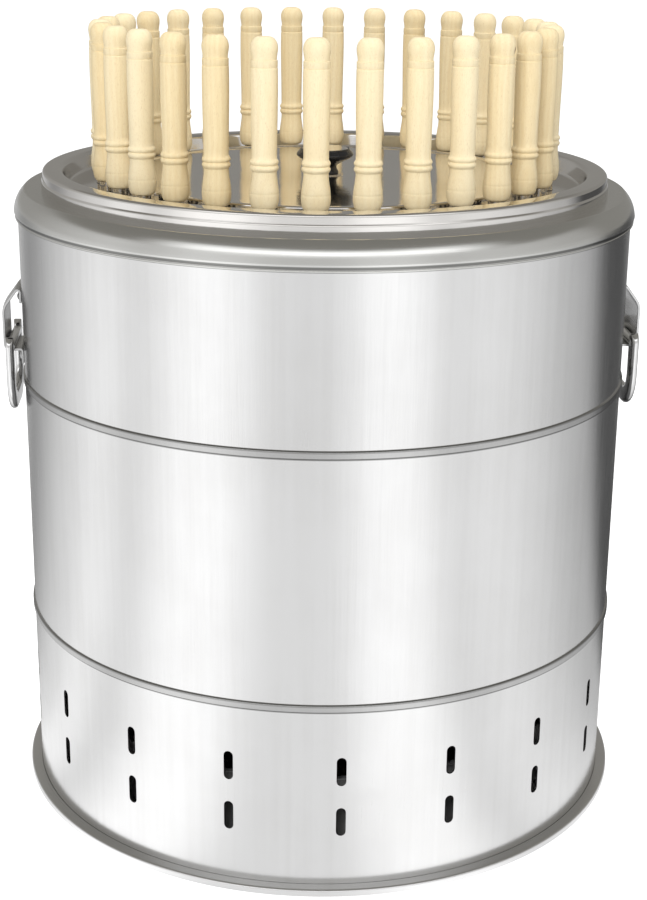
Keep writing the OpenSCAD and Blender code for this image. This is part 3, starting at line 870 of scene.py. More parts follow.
def make_finishes() -> dict[str, bpy.types.Material]:
    """Makes every finish of the grill.

    Painted shade darkens the wall along its beads, and the collar at its neck and over its hem.

    Returns:
        The materials by the names of their slots.
    """
    beads = seams_over(Barrel.bead_low_z, BEAD_SEAMS) + seams_over(Barrel.bead_high_z, BEAD_SEAMS)
    neck = seams_over(Barrel.height - Barrel.collar_neck_drop, NECK_SEAMS)
    hem = seams_over(Barrel.height - Barrel.collar_h, HEM_SEAMS)
    mirror = {"marks": 0.025, "stains": 0.03, "relief": 0.03, "wave": 34.0}
    drawn = {"marks": 0.03, "stains": 0.04, "relief": 0.03}
    finishes = (
        Steel("barrel_steel", (0.8, 0.8, 0.8), 0.22, Lay.UPRIGHT, marks=0.1, relief=0.1, seams=beads),
        Steel("foot_steel", (0.84, 0.84, 0.84), 0.3, Lay.ROUND),
        Steel("collar_steel", (0.74, 0.74, 0.72), 0.2, Lay.ROUND, marks=0.05, seams=neck + hem),
        Steel("polished_steel", (0.78, 0.76, 0.735), 0.1, Lay.ROUND, **mirror),
        Steel("strap_steel", (0.64, 0.64, 0.64), 0.28, Lay.ROUND),
        Steel("bright_steel", (0.82, 0.82, 0.82), 0.12, Lay.CLOUDY, **drawn),
        Steel("pan_steel", (0.62, 0.62, 0.62), 0.5, Lay.ROUND, tint_share=0.5, metal=0.3),
        HeatTintedSteel("drum_steel", (0.46, 0.45, 0.44), (0.5, 0.4, 0.26), (0.05, 0.05, 0.05)),
        HeatTintedSteel("grate_steel", (0.38, 0.37, 0.36), (0.42, 0.33, 0.22), (0.04, 0.04, 0.04)),
        GlossMoulding("black_knob", (0.014, 0.014, 0.015), (0.03, 0.03, 0.03)),
        TurnedWood(
            "turned_wood", (0.96, 0.83, 0.56), (0.85, 0.68, 0.39), (0.66, 0.47, 0.25), (0.2, 0.1, 0.05)
        ),
    )
    return {finish.name: finish.material() for finish in finishes}


@dataclass
class Barrel(Assembly):
    """The barrel: its wall with beads and air slots, foot ring, bottom plate, collar and strap loops."""

    wall_r: float = 198.5
    wall_t: float = 1.0
    height: float = 404.7
    bead_low_z: float = 124.0
    bead_high_z: float = 282.3
    bead_h: float = 4.6
    bead_out: float = 1.3
    bead_slope: float = 0.5
    bead_round: float = 0.6
    vent_count: int = 18
    vent_w: float = 6.0
    vent_l: float = 19.0
    vent_low_z: float = 48.0
    vent_rise: float = 34.0
    foot_out: float = 7.5
    foot_h: float = 5.0
    foot_round: float = 1.5
    ledge_w: float = 8.5
    ledge_t: float = 1.2
    bottom_t: float = 1.0
    bottom_skirt: float = 7.8
    bottom_round: float = 3.0
    collar_t: float = 1.2
    collar_h: float = 17.7
    collar_hem_r: float = 0.8
    collar_neck_drop: float = 15.3
    collar_belly_drop: float = 13.4
    collar_belly: float = 1.8
    collar_bend_drop: float = 5.7
    collar_bend: float = 0.4
    collar_round: float = 18.0
    collar_shoulder: float = 4.7
    collar_fold: float = 1.0
    mouth_r: float = 170.0
    mouth_lip: float = 11.0
    mouth_round: float = 3.0
    strap_w: float = 36.0
    strap_t: float = 1.6
    strap_top_z: float = 342.0
    shelf_z: float = 298.5
    strap_out: float = 13.0
    strap_slant: float = 15.0
    strap_round: float = 11.0
    strap_fold: float = 1.6
    strap_edge: float = 0.3
    shelf_round: float = 4.1
    tab_l: float = 12.0
    strap_foot: float = 9.6
    fit_gap: float = 0.2
    turn_steps: int = 288
    ray_steps: int = 72
    ring_shares: tuple = (0.0, 0.03, 0.1, 0.25, 0.5, 1.0)

    def _band_skins(self, start: float) -> list[np.ndarray]:
        """The outer and inner skins of the wall above a height, as rows of (radius, height).

        The middle of the sheet runs straight up but for the beads, each folded out, up and back with
        rounded corners. The skins lie half the thickness to either side of it.

        Args:
            start: the height where the rows begin.

        Returns:
            The rows of the outer skin and those of the inner one.
        """
        middle = self.wall_r - self.wall_t / 2
        half, crest = self.bead_h / 2, middle + self.bead_out
        line = [[middle, start]]
        for bead_z in (self.bead_low_z, self.bead_high_z):
            line += [[middle, bead_z - half], [crest, bead_z - half + self.bead_slope]]
            line += [[crest, bead_z + half - self.bead_slope], [middle, bead_z + half]]
        line.append([middle, self.height - self.collar_belly_drop + self.collar_t])
        path = folded(line, [self.bead_round] * (len(line) - 2), BEND_STEPS // 2)
        return [beside(path, -self.wall_t / 2), beside(path, self.wall_t / 2)]

    def _cell_rays(self) -> tuple[np.ndarray, np.ndarray, np.ndarray]:
        """The rays from a slot's middle, and where each meets the slot's edge and its cell's edge.

        A ray at angle p meets the straight side at half width / |cos p|, or else a round end at
        s |sin p| + sqrt(half width squared - (s cos p) squared), where s is half the straight length.
        The cell's edge is the nearer of half its width / |cos p| and half its height / |sin p|.

        Returns:
            The rays' directions, and the two distances along each.
        """
        half_w = self.vent_w / 2
        straight = self.vent_l / 2 - half_w
        cell_w = math.pi * self.wall_r / self.vent_count
        cell_h = self.vent_rise / 2
        corner = math.atan2(cell_h, cell_w)
        even = np.linspace(0, 2 * np.pi, self.ray_steps, endpoint=False)
        corners = np.array([corner, np.pi - corner, np.pi + corner, 2 * np.pi - corner])
        angles = np.sort(np.concatenate([even, corners]))
        across = np.maximum(np.abs(np.cos(angles)), TINY)
        upward = np.maximum(np.abs(np.sin(angles)), TINY)
        side = half_w / across
        end = straight * upward + np.sqrt(np.maximum(half_w**2 - (straight * across) ** 2, 0.0))
        slot = np.where(side * upward <= straight, side, end)
        cell = np.minimum(cell_w / across, cell_h / upward)
        return np.stack([np.cos(angles), np.sin(angles)], axis=1), slot, cell

    def _wall_skins(self) -> list[Surface]:
        """The outer and inner skins and the slots' edges.

        In a slot's cell the point at share v along a ray is (1 - v) slot edge + v cell edge, wrapped onto
        the wall: angle = cell angle + across / radius. Plain bands above and below use the same columns.

        Returns:
            The skins as separate surfaces that share their edges.
        """
        rays, slot, cell = self._cell_rays()
        shares = np.array(self.ring_shares)[:, None]
        reach = (1 - shares) * slot + shares * cell
        across, upward = reach * rays[:, 0], reach * rays[:, 1]
        pitch = FULL_TURN / self.vent_count
        low, high = self.vent_low_z, self.vent_low_z + self.vent_rise
        edge = across[-1][np.isclose(upward[-1], self.vent_rise / 2)]
        edge = np.sort(edge)[:-1] / self.wall_r
        columns = (np.degrees(edge)[None, :] + np.arange(self.vent_count)[:, None] * pitch).ravel()
        below = np.array([self.ledge_t, low - self.vent_rise / 2])
        above = self._band_skins(high + self.vent_rise / 2)
        parts = []
        for inset, band in zip((0.0, self.wall_t), above):
            plain = np.stack([np.full_like(below, self.wall_r - inset), below], axis=1)
            for rows in (plain, band):
                parts.append(Surface.grid(around(rows[:, :1], columns, rows[:, 1:]), wrap_columns=True))
            for turn in np.arange(self.vent_count) * pitch:
                angle = turn + np.degrees(across / self.wall_r)
                for middle in (low, high):
                    points = around(self.wall_r - inset, angle, middle + upward)
                    parts.append(Surface.grid(points, wrap_columns=True))
        radii = np.array([self.wall_r, self.wall_r - self.wall_t])[:, None]
        for turn in np.arange(self.vent_count) * pitch:
            angle = turn + np.degrees(across[:1] / self.wall_r)
            for middle in (low, high):
                parts.append(Surface.grid(around(radii, angle, middle + upward[:1]), wrap_columns=True))
        for height in (self.ledge_t, above[0][-1, 1]):
            parts.append(Surface.grid(around(radii, columns, height), wrap_columns=True))
        return parts

    def wall(self) -> None:
        """Builds the wall with its beads and slots."""
        piece = self.piece("barrel_wall_sheet", "barrel", "barrel_steel", "barrel_wall")
        piece.from_surface(Surface.joined(self._wall_skins()))

    def foot_ring(self) -> None:
        """Builds the foot ring with its rounded outer edges and inner ledge."""
        outer = self.wall_r + self.foot_out
        inner = self.wall_r + self.fit_gap
        middle = outer - self.foot_round
        section = np.concatenate([
            [[self.wall_r - self.ledge_w, 0.0]],
            arc((middle, self.foot_round), self.foot_round, -90, 0, BEND_STEPS),
            arc((middle, self.foot_h - self.foot_round), self.foot_round, 0, 90, BEND_STEPS),
            [[inner, self.foot_h], [inner, self.ledge_t], [self.wall_r - self.ledge_w, self.ledge_t]],
        ])
        piece = self.piece("foot_ring_rolled", "barrel", "foot_steel", "base_ring")
        piece.from_surface(Surface.turned(section, self.turn_steps))

    def bottom_plate(self) -> None:
        """Builds the dished bottom plate."""
        skirt = self.wall_r - self.wall_t - self.fit_gap - self.bottom_t / 2
        middle = self.ledge_t + self.bottom_skirt - self.bottom_t / 2
        line = [[skirt, self.ledge_t], [skirt, middle], [0, middle]]
        section = sheet(line, [self.bottom_round], self.bottom_t)
        piece = self.piece("bottom_plate_dished", "barrel", "pan_steel", "bottom_plate")
        piece.from_surface(Surface.turned(section, self.turn_steps))

    def collar(self) -> None:
        """Builds the spun collar from its rolled hem over the belly and shoulder to the mouth's lip."""
        skirt = self.wall_r + self.fit_gap
        middle = self.height - self.collar_t / 2
        lip = self.mouth_r + self.collar_t / 2
        line = [
            [skirt + self.collar_hem_r, self.height - self.collar_h + self.collar_hem_r],
            [skirt + self.collar_t / 2, self.height - self.collar_neck_drop],
            [self.wall_r + self.collar_belly, self.height - self.collar_belly_drop],
            [self.wall_r + self.collar_bend, self.height - self.collar_bend_drop],
            [self.wall_r - self.collar_shoulder, middle],
            [lip, middle],
            [lip, middle - self.mouth_lip],
        ]
        radii = [self.collar_fold, self.collar_fold, self.collar_round, self.collar_fold, self.mouth_round]
        section = hemmed_sheet(line, radii, self.collar_t, self.collar_hem_r)
        piece = self.piece("shoulder_collar_spun", "barrel", "collar_steel", "shoulder_collar")
        piece.from_surface(Surface.turned(section, self.turn_steps))

    def straps(self) -> None:
        """Builds both strap loops and dresses their rivets."""
        foot_r = self.wall_r + self.fit_gap + self.strap_t / 2
        face = self.wall_r + self.strap_out
        middle = face - self.strap_t / 2
        fold_z = self.strap_top_z - self.strap_t / 2
        line = [
            [foot_r, fold_z - self.tab_l],
            [foot_r, fold_z],
            [middle, fold_z - self.strap_slant],
            [middle, self.shelf_z],
            [foot_r, self.shelf_z],
            [foot_r, self.shelf_z - self.strap_foot],
        ]
        radii = [self.strap_fold, self.strap_round, self.shelf_round, self.strap_fold]
        section = sheet(line, radii, self.strap_t)
        sweep = math.degrees(self.strap_w / face)
        for side, angle in (("right", 90.0), ("left", -90.0)):
            node = f"{side}_handle_bracket"
            piece = self.piece(f"{side}_strap_loop", "barrel", "strap_steel", node, bevel=self.strap_edge)
            piece.from_surface(Surface.turned(section, 2 * BEND_STEPS, angle - sweep / 2, sweep))
        self.piece("strap_rivets", "barrel", "strap_steel", "bracket_rivets").from_node()

    def build(self) -> None:
        """Builds every piece of the barrel."""
        self.wall()
        self.foot_ring()
        self.bottom_plate()
        self.collar()
        self.straps()


@dataclass
class DropHandles(Assembly):
    """The two ring handles that hang from the strap loops.

    The hinge bar's middle lies inside the strap's face, on the strap's shelf.
    """

    hinge_r: float = 205.8403
    hinge_z: float = 302.6
    width: float = 64.0
    drop: float = 39.5
    bar_r: float = 3.0
    band_w: float = 12.5
    band_t: float = 4.8
    corner: float = 17.0
    crease: float = 40.0
    section_steps: int = 12

    def _path(self) -> tuple[np.ndarray, np.ndarray]:
        """The band's middle line as (across, up) about the hinge, and the band's share of width along it.

        The line runs down one leg, round two corners and up the other leg; above the hinge the width
        shrinks as sqrt(1 - (rise / half width) squared), so that each leg ends in a half circle.

        Returns:
            The line's points and the shares.
        """
        half = self.width / 2 - self.band_w / 2
        top = self.band_w / 2
        rise = np.sin(np.linspace(np.pi / 2, 0, BEND_STEPS + 1)) * top
        leg = np.stack([np.full_like(rise, -half), rise], axis=1)
        bend = folded([[-half, 0], [-half, -self.drop], [half, -self.drop], [half, 0]], [self.corner] * 2)
        line = np.concatenate([leg[:-1], bend, (leg * [-1, 1])[::-1][1:]])
        share = np.sqrt(np.maximum(1 - (np.maximum(line[:, 1], 0) / top) ** 2, 0.0))
        return line, share

    def _band(self) -> Surface:
        """The band: an obround section carried along the path, its width along the path's normal.

        Returns:
            The band's closed surface.
        """
        line, share = self._path()
        legs = np.gradient(line, axis=0)
        legs = legs / np.linalg.norm(legs, axis=1, keepdims=True)
        normal = np.stack([-legs[:, 1], legs[:, 0]], axis=1)
        flat = (self.band_w - self.band_t) / 2
        section = np.concatenate([
            arc((flat, 0), self.band_t / 2, -90, 90, self.section_steps),
            arc((-flat, 0), self.band_t / 2, 90, 270, self.section_steps),
        ])
        place = line[:, None, :] + normal[:, None, :] * section[None, :, :1] * share[:, None, None]
        depth = self.hinge_r + section[None, :, 1]
        rows = np.broadcast_arrays(depth, place[..., 0], self.hinge_z + place[..., 1])
        return Surface.tube(np.stack(rows, axis=-1))

    def _bar(self) -> Surface:
        """The hinge bar: a circle carried from leg to leg, closed at both ends.

        Returns:
            The bar's closed surface.
        """
        half = self.width / 2 - self.band_w / 2
        circle = arc((self.hinge_r, self.hinge_z), self.bar_r, 0, FULL_TURN, 4 * BEND_STEPS)[:-1]
        along = np.linspace(-half, half, 2 * BEND_STEPS)[:, None]
        rows = np.broadcast_arrays(circle[None, :, 0], along, circle[None, :, 1])
        return Surface.tube(np.stack(rows, axis=-1))

    def build(self) -> None:
        """Builds both handles."""
        handle = Surface.joined([self._band(), self._bar()])
        for side, turn in (("right", 0.0), ("left", 180.0)):
            node = f"{side}_drop_handle"
            piece = self.piece(f"{side}_ring_handle", node, "bright_steel", node, crease=self.crease)
            piece.from_surface(handle.turned_by(turn))


@dataclass
class SkewerTray(Assembly):
    """The ring tray: a notched floor, a stepped rim and a skirt that drops on the collar."""

    thickness: float = 1.0
    floor_z: float = 405.0
    seat_z: float = 404.7
    opening_r: float = 118.0
    floor_r: float = 166.5
    lean: float = 3.0
    rim_round: float = 3.0
    crest_z: float = 416.0
    rim_fall: float = 0.2
    rim_edge: float = 1.6
    rim_step: float = 5.2
    rim_slope: float = 1.2
    step_r: float = 181.6
    rim_r: float = 182.8
    notch_count: int = 30
    notch_phase: float = 6.0
    notch_w: float = 2.6
    notch_end_r: float = 147.0
    floor_rows: int = 8
    sector_steps: int = 12

    def _notch_angle(self, radius: np.ndarray) -> np.ndarray:
        """Half a notch's angle at each radius: asin(half width / radius).

        At the notch's end the half width closes in a half circle.

        Args:
            radius: distances from the axis.

        Returns:
            The angles in degrees.
        """
        half = self.notch_w / 2
        past = np.clip((radius - self.notch_end_r) / half, 0.0, 1.0)
        return np.degrees(np.arcsin(half * np.sqrt(1 - past**2) / radius))

    def build(self) -> None:
        """Builds the tray by sectors between the notches.

        A section's point at radius r and share u of a sector stands at the angle
        sector start + notch angle(r) + u (sector width - 2 notch angle(r)).
        """
        middle = self.floor_z - self.thickness / 2
        half = self.notch_w / 2
        closing = self.notch_end_r + half * np.sin(np.linspace(0, np.pi / 2, BEND_STEPS))
        straight = np.linspace(self.opening_r, self.notch_end_r, self.floor_rows)
        floor = np.concatenate([straight[:-1], closing])
        skirt = self.rim_r - self.thickness / 2
        edge_z = self.crest_z - self.rim_fall
        step_z = edge_z - self.rim_step
        line = folded(
            [
                [floor[-1], middle],
                [self.floor_r, middle],
                [self.floor_r + self.lean, self.crest_z],
                [self.step_r, edge_z],
                [self.step_r, step_z],
                [skirt, step_z - self.rim_slope],
                [skirt, self.seat_z],
            ],
            [self.rim_round, self.rim_round, self.rim_edge, self.thickness, self.thickness],
        )
        line = np.concatenate([np.stack([floor[:-1], np.full(len(floor) - 1, middle)], axis=1), line])
        above, below = beside(line, self.thickness / 2), beside(line, -self.thickness / 2)
        section = np.concatenate([above, below[::-1]])
        pitch = FULL_TURN / self.notch_count
        share = np.linspace(0, 1, self.sector_steps + 1)
        parts = []
        for start in self.notch_phase + np.arange(self.notch_count) * pitch:
            notch = self._notch_angle(section[:, :1])
            points = around(section[:, :1], start + notch + share * (pitch - 2 * notch), section[:, 1:])
            parts.append(Surface.grid(points, wrap_rows=True))
            cheeks = np.stack([above[: len(floor)], below[: len(floor)]], axis=1)
            notch = self._notch_angle(cheeks[..., 0])
            parts += [
                Surface.grid(around(cheeks[..., 0], start + side * notch, cheeks[..., 1])) for side in (-1, 1)
            ]
        piece = self.piece("skewer_tray_spun", "skewer_tray", "polished_steel", "skewer_tray")
        piece.from_surface(Surface.joined(parts))


@dataclass
class InnerLid(Assembly):
    """The flat inner lid with its beaded edge and skirt, and the knob, cap, washer and screw on it."""

    radius: float = 133.6
    thickness: float = 1.0
    floor_z: float = 405.0
    height: float = 6.0
    bead: float = 1.0
    bead_w: float = 4.4
    knob_r: float = 18.5
    knob_h: float = 16.0
    knob_waist_h: float = 4.0
    knob_flare_drop: float = 4.0
    knob_foot_r: float = 9.0
    knob_waist_r: float = 7.6
    cap_r: float = 15.0
    cap_t: float = 0.8
    washer_r: float = 12.0
    washer_t: float = 0.8
    disc_edge: float = 0.2
    screw_r: float = 2.5
    fit_gap: float = 0.2
    turn_steps: int = 192

    def plate(self) -> None:
        """Builds the plate with its raised edge bead and skirt."""
        middle = self.floor_z + self.height - self.thickness / 2
        skirt = self.radius - self.thickness / 2
        start = self.radius - self.bead_w
        line = [
            [self.screw_r + self.fit_gap, middle],
            [start - self.bead, middle],
            [start, middle + self.bead],
            [skirt, middle + self.bead],
            [skirt, self.floor_z],
        ]
        section = sheet(line, [self.thickness] * 3, self.thickness)
        piece = self.piece("inner_lid_plate", "inner_lid", "polished_steel", "inner_lid")
        piece.from_surface(Surface.turned(section, self.turn_steps))

    def _disc(self, inner: float, outer: float, low: float, high: float) -> Surface:
        """A disc or ring between two radii and two heights, with a bevelled upper edge.

        Args:
            inner: the inner radius.
            outer: the outer radius.
            low: the lower height.
            high: the upper height.

        Returns:
            The closed surface.
        """
        edge = self.disc_edge
        section = [[inner, low], [outer, low], [outer, high - edge], [outer - edge, high], [inner, high]]
        return Surface.turned(np.array(section), self.turn_steps)

    def knob(self) -> None:
        """Builds the knob, its steel cap and the washer, and dresses the screw."""
        lid_top = self.floor_z + self.height
        foot_z = lid_top + self.washer_t
        top = foot_z + self.knob_h
        seat = self.cap_r + self.fit_gap
        rim = seat + self.cap_t
        waist = (self.knob_waist_r, foot_z + self.knob_waist_h)
        flare = (self.knob_r, top - self.knob_flare_drop)
        section = np.concatenate([
            [[self.screw_r, foot_z], [self.knob_foot_r, foot_z]],
            swell((self.knob_foot_r, foot_z), waist),
            swell(waist, flare),
            swell(flare, (rim, top)),
            [[seat, top], [seat, top - self.cap_t], [self.screw_r, top - self.cap_t]],
        ])
        black = self.piece("lid_knob_moulded", "inner_lid", "black_knob", "lid_knob")
        black.from_surface(Surface.turned(section, self.turn_steps))
        cap = self.piece("knob_cap_disc", "inner_lid", "polished_steel", "knob_cap")
        cap.from_surface(self._disc(0, self.cap_r, top - self.cap_t, top))
        washer = self.piece("knob_washer_ring", "inner_lid", "polished_steel", "knob_washer")
        washer.from_surface(self._disc(self.screw_r + self.fit_gap, self.washer_r, lid_top, foot_z))
        self.piece("knob_screw_turned", "inner_lid", "bright_steel", "knob_screw").from_node()

    def build(self) -> None:
        """Builds the lid and its knob."""
        self.plate()
        self.knob()


@dataclass
class Skewers(Assembly):
    """The ring of skewers: a turned handle, and a ferrule with its blade, for each."""

    count: int = 30
    ring_r: float = 142.6
    phase: float = 6.0
    floor_z: float = 405.0
    ferrule_r: float = 5.0
    ferrule_h: float = 6.4
    ferrule_edge: float = 0.4
    blade_w: float = 8.0
    blade_t: float = 1.8
    blade_l: float = 300.0
    blade_tip: float = 26.0
    blade_bevel: float = 0.5
    blade_edge: float = 0.3
    blade_steps: tuple = (6, 8)
    tip_share: float = 0.35
    gap: float = 0.1
    handle_l: float = 96.5
    end_r: float = 6.2
    bulb: tuple = (8.6, 7.0)
    line_z: float = 9.2
    line_w: float = 0.6
    line_cut: float = 0.18
    neck: tuple = (7.2, 21.6)
    bead_r: float = 8.3
    bead_h: float = 3.3
    low_r: float = 7.3
    belly: tuple = (7.8, 70.0)
    high: tuple = (7.7, 79.2)
    band_r: float = 7.6
    band_h: float = 4.6
    groove_r: float = 7.1
    head_r: float = 7.8
    crown_r: float = 3.0
    cut: float = 0.35
    crease: float = 50.0
    turn_steps: int = 40
    grain_shift: float = 400.0
    knotty: tuple = (4, 22)
    knot_side: tuple = (0.5, -0.87)
    knot_drop: float = 9.0
    knot_reach: float = 2.2
    knot_squash: tuple = (1.0, 1.0, 0.8)
    rng: np.random.Generator = field(default_factory=lambda: np.random.default_rng(SEED))

    def _quarter(self, end_r: float, side: Sequence[float], end_z: float) -> np.ndarray:
        """A quarter-round from the handle's side to its end: a cosine in radius and a sine in height.

        Args:
            end_r: the radius of the flat at the end.
            side: radius and height where the side begins to turn in.
            end_z: the height of the end.

        Returns:
            The points from the side to the end.
        """
        turn = np.radians(np.linspace(0, 90, BEND_STEPS + 1))
        radius = end_r + (side[0] - end_r) * np.cos(turn)
        return np.stack([radius, side[1] + (end_z - side[1]) * np.sin(turn)], axis=1)

    def _outline(self) -> np.ndarray:
        """The turned handle's outline from its lower end to its crown, as (radius, height).

        Over the bulb a fine line is cut, whose depth falls evenly from its middle to its edges.

        Returns:
            The outline's points in order.
        """
        bulb = swell(self.bulb, self.neck, 4 * BEND_STEPS)
        bulb[:, 0] -= self.line_cut * np.clip(1 - np.abs(bulb[:, 1] - self.line_z) / self.line_w, 0.0, 1.0)
        bead_z = self.neck[1] + self.cut
        valley = self.neck[0] + self.cut
        tops = bead_z + np.arange(3) * self.bead_h
        beads = [half_round(valley, self.bead_r, tops[k], tops[k + 1])[k:] for k in (0, 1)]
        low = (self.low_r, tops[2] + self.cut)
        band_z = self.high[1] + 2 * self.cut
        groove = (self.groove_r, self.high[1] + self.band_h)
        head = (self.head_r, (groove[1] + self.handle_l) / 2)
        return np.concatenate([
            [[0, 0]],
            self._quarter(self.end_r, self.bulb, 0.0)[::-1],
            bulb,
            *beads,
            [low],
            swell(low, self.belly),
            swell(self.belly, self.high),
            [[self.high[0] - self.cut, self.high[1] + self.cut], [self.band_r, band_z]],
            [[self.band_r, groove[1] - self.cut], groove],
            swell(groove, head),
            self._quarter(self.crown_r, head, self.handle_l)[1:],
            [[0, self.handle_l]],
        ])

    def _ferrule(self) -> Surface:
        """The ferrule: a short tube with bevelled edges.

        Returns:
            The ferrule's closed surface.
        """
        r, h, edge = self.ferrule_r, self.ferrule_h, self.ferrule_edge
        section = [[0, 0], [r - edge, 0], [r, edge], [r, h - edge], [r - edge, h], [0, h]]
        return Surface.turned(np.array(section), self.turn_steps)

    def _blade(self) -> Surface:
        """The blade: a bevelled flat section carried down from the ferrule and drawn to a point.

        The half width is full down to the tip's length from the end and then falls evenly to nothing.

        Returns:
            The blade's closed surface.
        """
        tip_z = self.blade_tip - self.blade_l
        flat_steps, tip_steps = self.blade_steps
        flat = np.linspace(-self.gap, tip_z, flat_steps + 1)
        heights = np.concatenate([flat, np.linspace(tip_z, -self.blade_l, tip_steps + 1)[1:]])
        share = np.clip((heights + self.blade_l) / self.blade_tip, 0.0, 1.0)
        half, thick = self.blade_w / 2, self.blade_t / 2
        face, edge = half - 2 * self.blade_bevel, self.blade_edge
        side = np.array([[half, -edge], [half, edge], [face, thick], [-face, thick]])
        section = np.concatenate([side, -side])
        along = section[None, :, 0] * share[:, None]
        across = section[None, :, 1] * np.maximum(share, self.tip_share)[:, None]
        rows = np.broadcast_arrays(across, along, heights[:, None])
        return Surface.tube(np.stack(rows, axis=-1))

    def build(self) -> None:
        """Builds each skewer in its place on the ring, every handle with a tone and grain of its own."""
        handle = Surface.turned(self._outline(), self.turn_steps)
        steel = Surface.joined([self._ferrule(), self._blade()])
        tones = self.rng.random(self.count)
        shifts = self.rng.uniform(-self.grain_shift, self.grain_shift, (self.count, 3))
        knot_at = np.array([*(self.head_r * side for side in self.knot_side), self.handle_l - self.knot_drop])
        near = np.linalg.norm((handle.points - knot_at) * self.knot_squash, axis=1)
        knot = np.exp(-((near / self.knot_reach) ** 2))
        wood = handle.moved((0, -self.ring_r, self.floor_z + self.ferrule_h + self.gap))
        steel = steel.moved((0, -self.ring_r, self.floor_z))
        for i, (tone, shift) in enumerate(zip(tones, shifts), start=1):
            angle = self.phase + (i - 1) * FULL_TURN / self.count
            node = f"skewer_{i:02d}"
            fields = {
                "grain": handle.points + shift,
                "tone": np.full(len(handle.points), tone),
                "knot": knot * (i in self.knotty),
            }
            grip = self.piece(f"{node}_handle", node, "turned_wood", node, crease=self.crease)
            grip.from_surface(wood.turned_by(angle), fields)
            blade = self.piece(f"{node}_blade", node, "polished_steel", node)
            blade.from_surface(steel.turned_by(angle))


@dataclass
class Firebox(Assembly):
    """The drip pan and the charcoal basket, which show through the slots and under the lifted lid."""

    def build(self) -> None:
        """Dresses merged copies of the pan, the basket, its grate, feet, ears and bail."""
        rows = (
            ("drip_pan_pressed", "drip_pan", "pan_steel", "drip_pan"),
            ("charcoal_drum", "charcoal_basket", "drum_steel", "charcoal_basket"),
            ("charcoal_grate_wire", "charcoal_basket", "grate_steel", "charcoal_grate"),
            ("basket_feet_turned", "charcoal_basket", "drum_steel", "basket_feet"),
            ("basket_ear_plates", "charcoal_basket", "drum_steel", "basket_ears"),
            ("basket_bail_wire", "basket_bail", "bright_steel", "basket_bail"),
        )
        for row in rows:
            self.piece(*row).from_node()


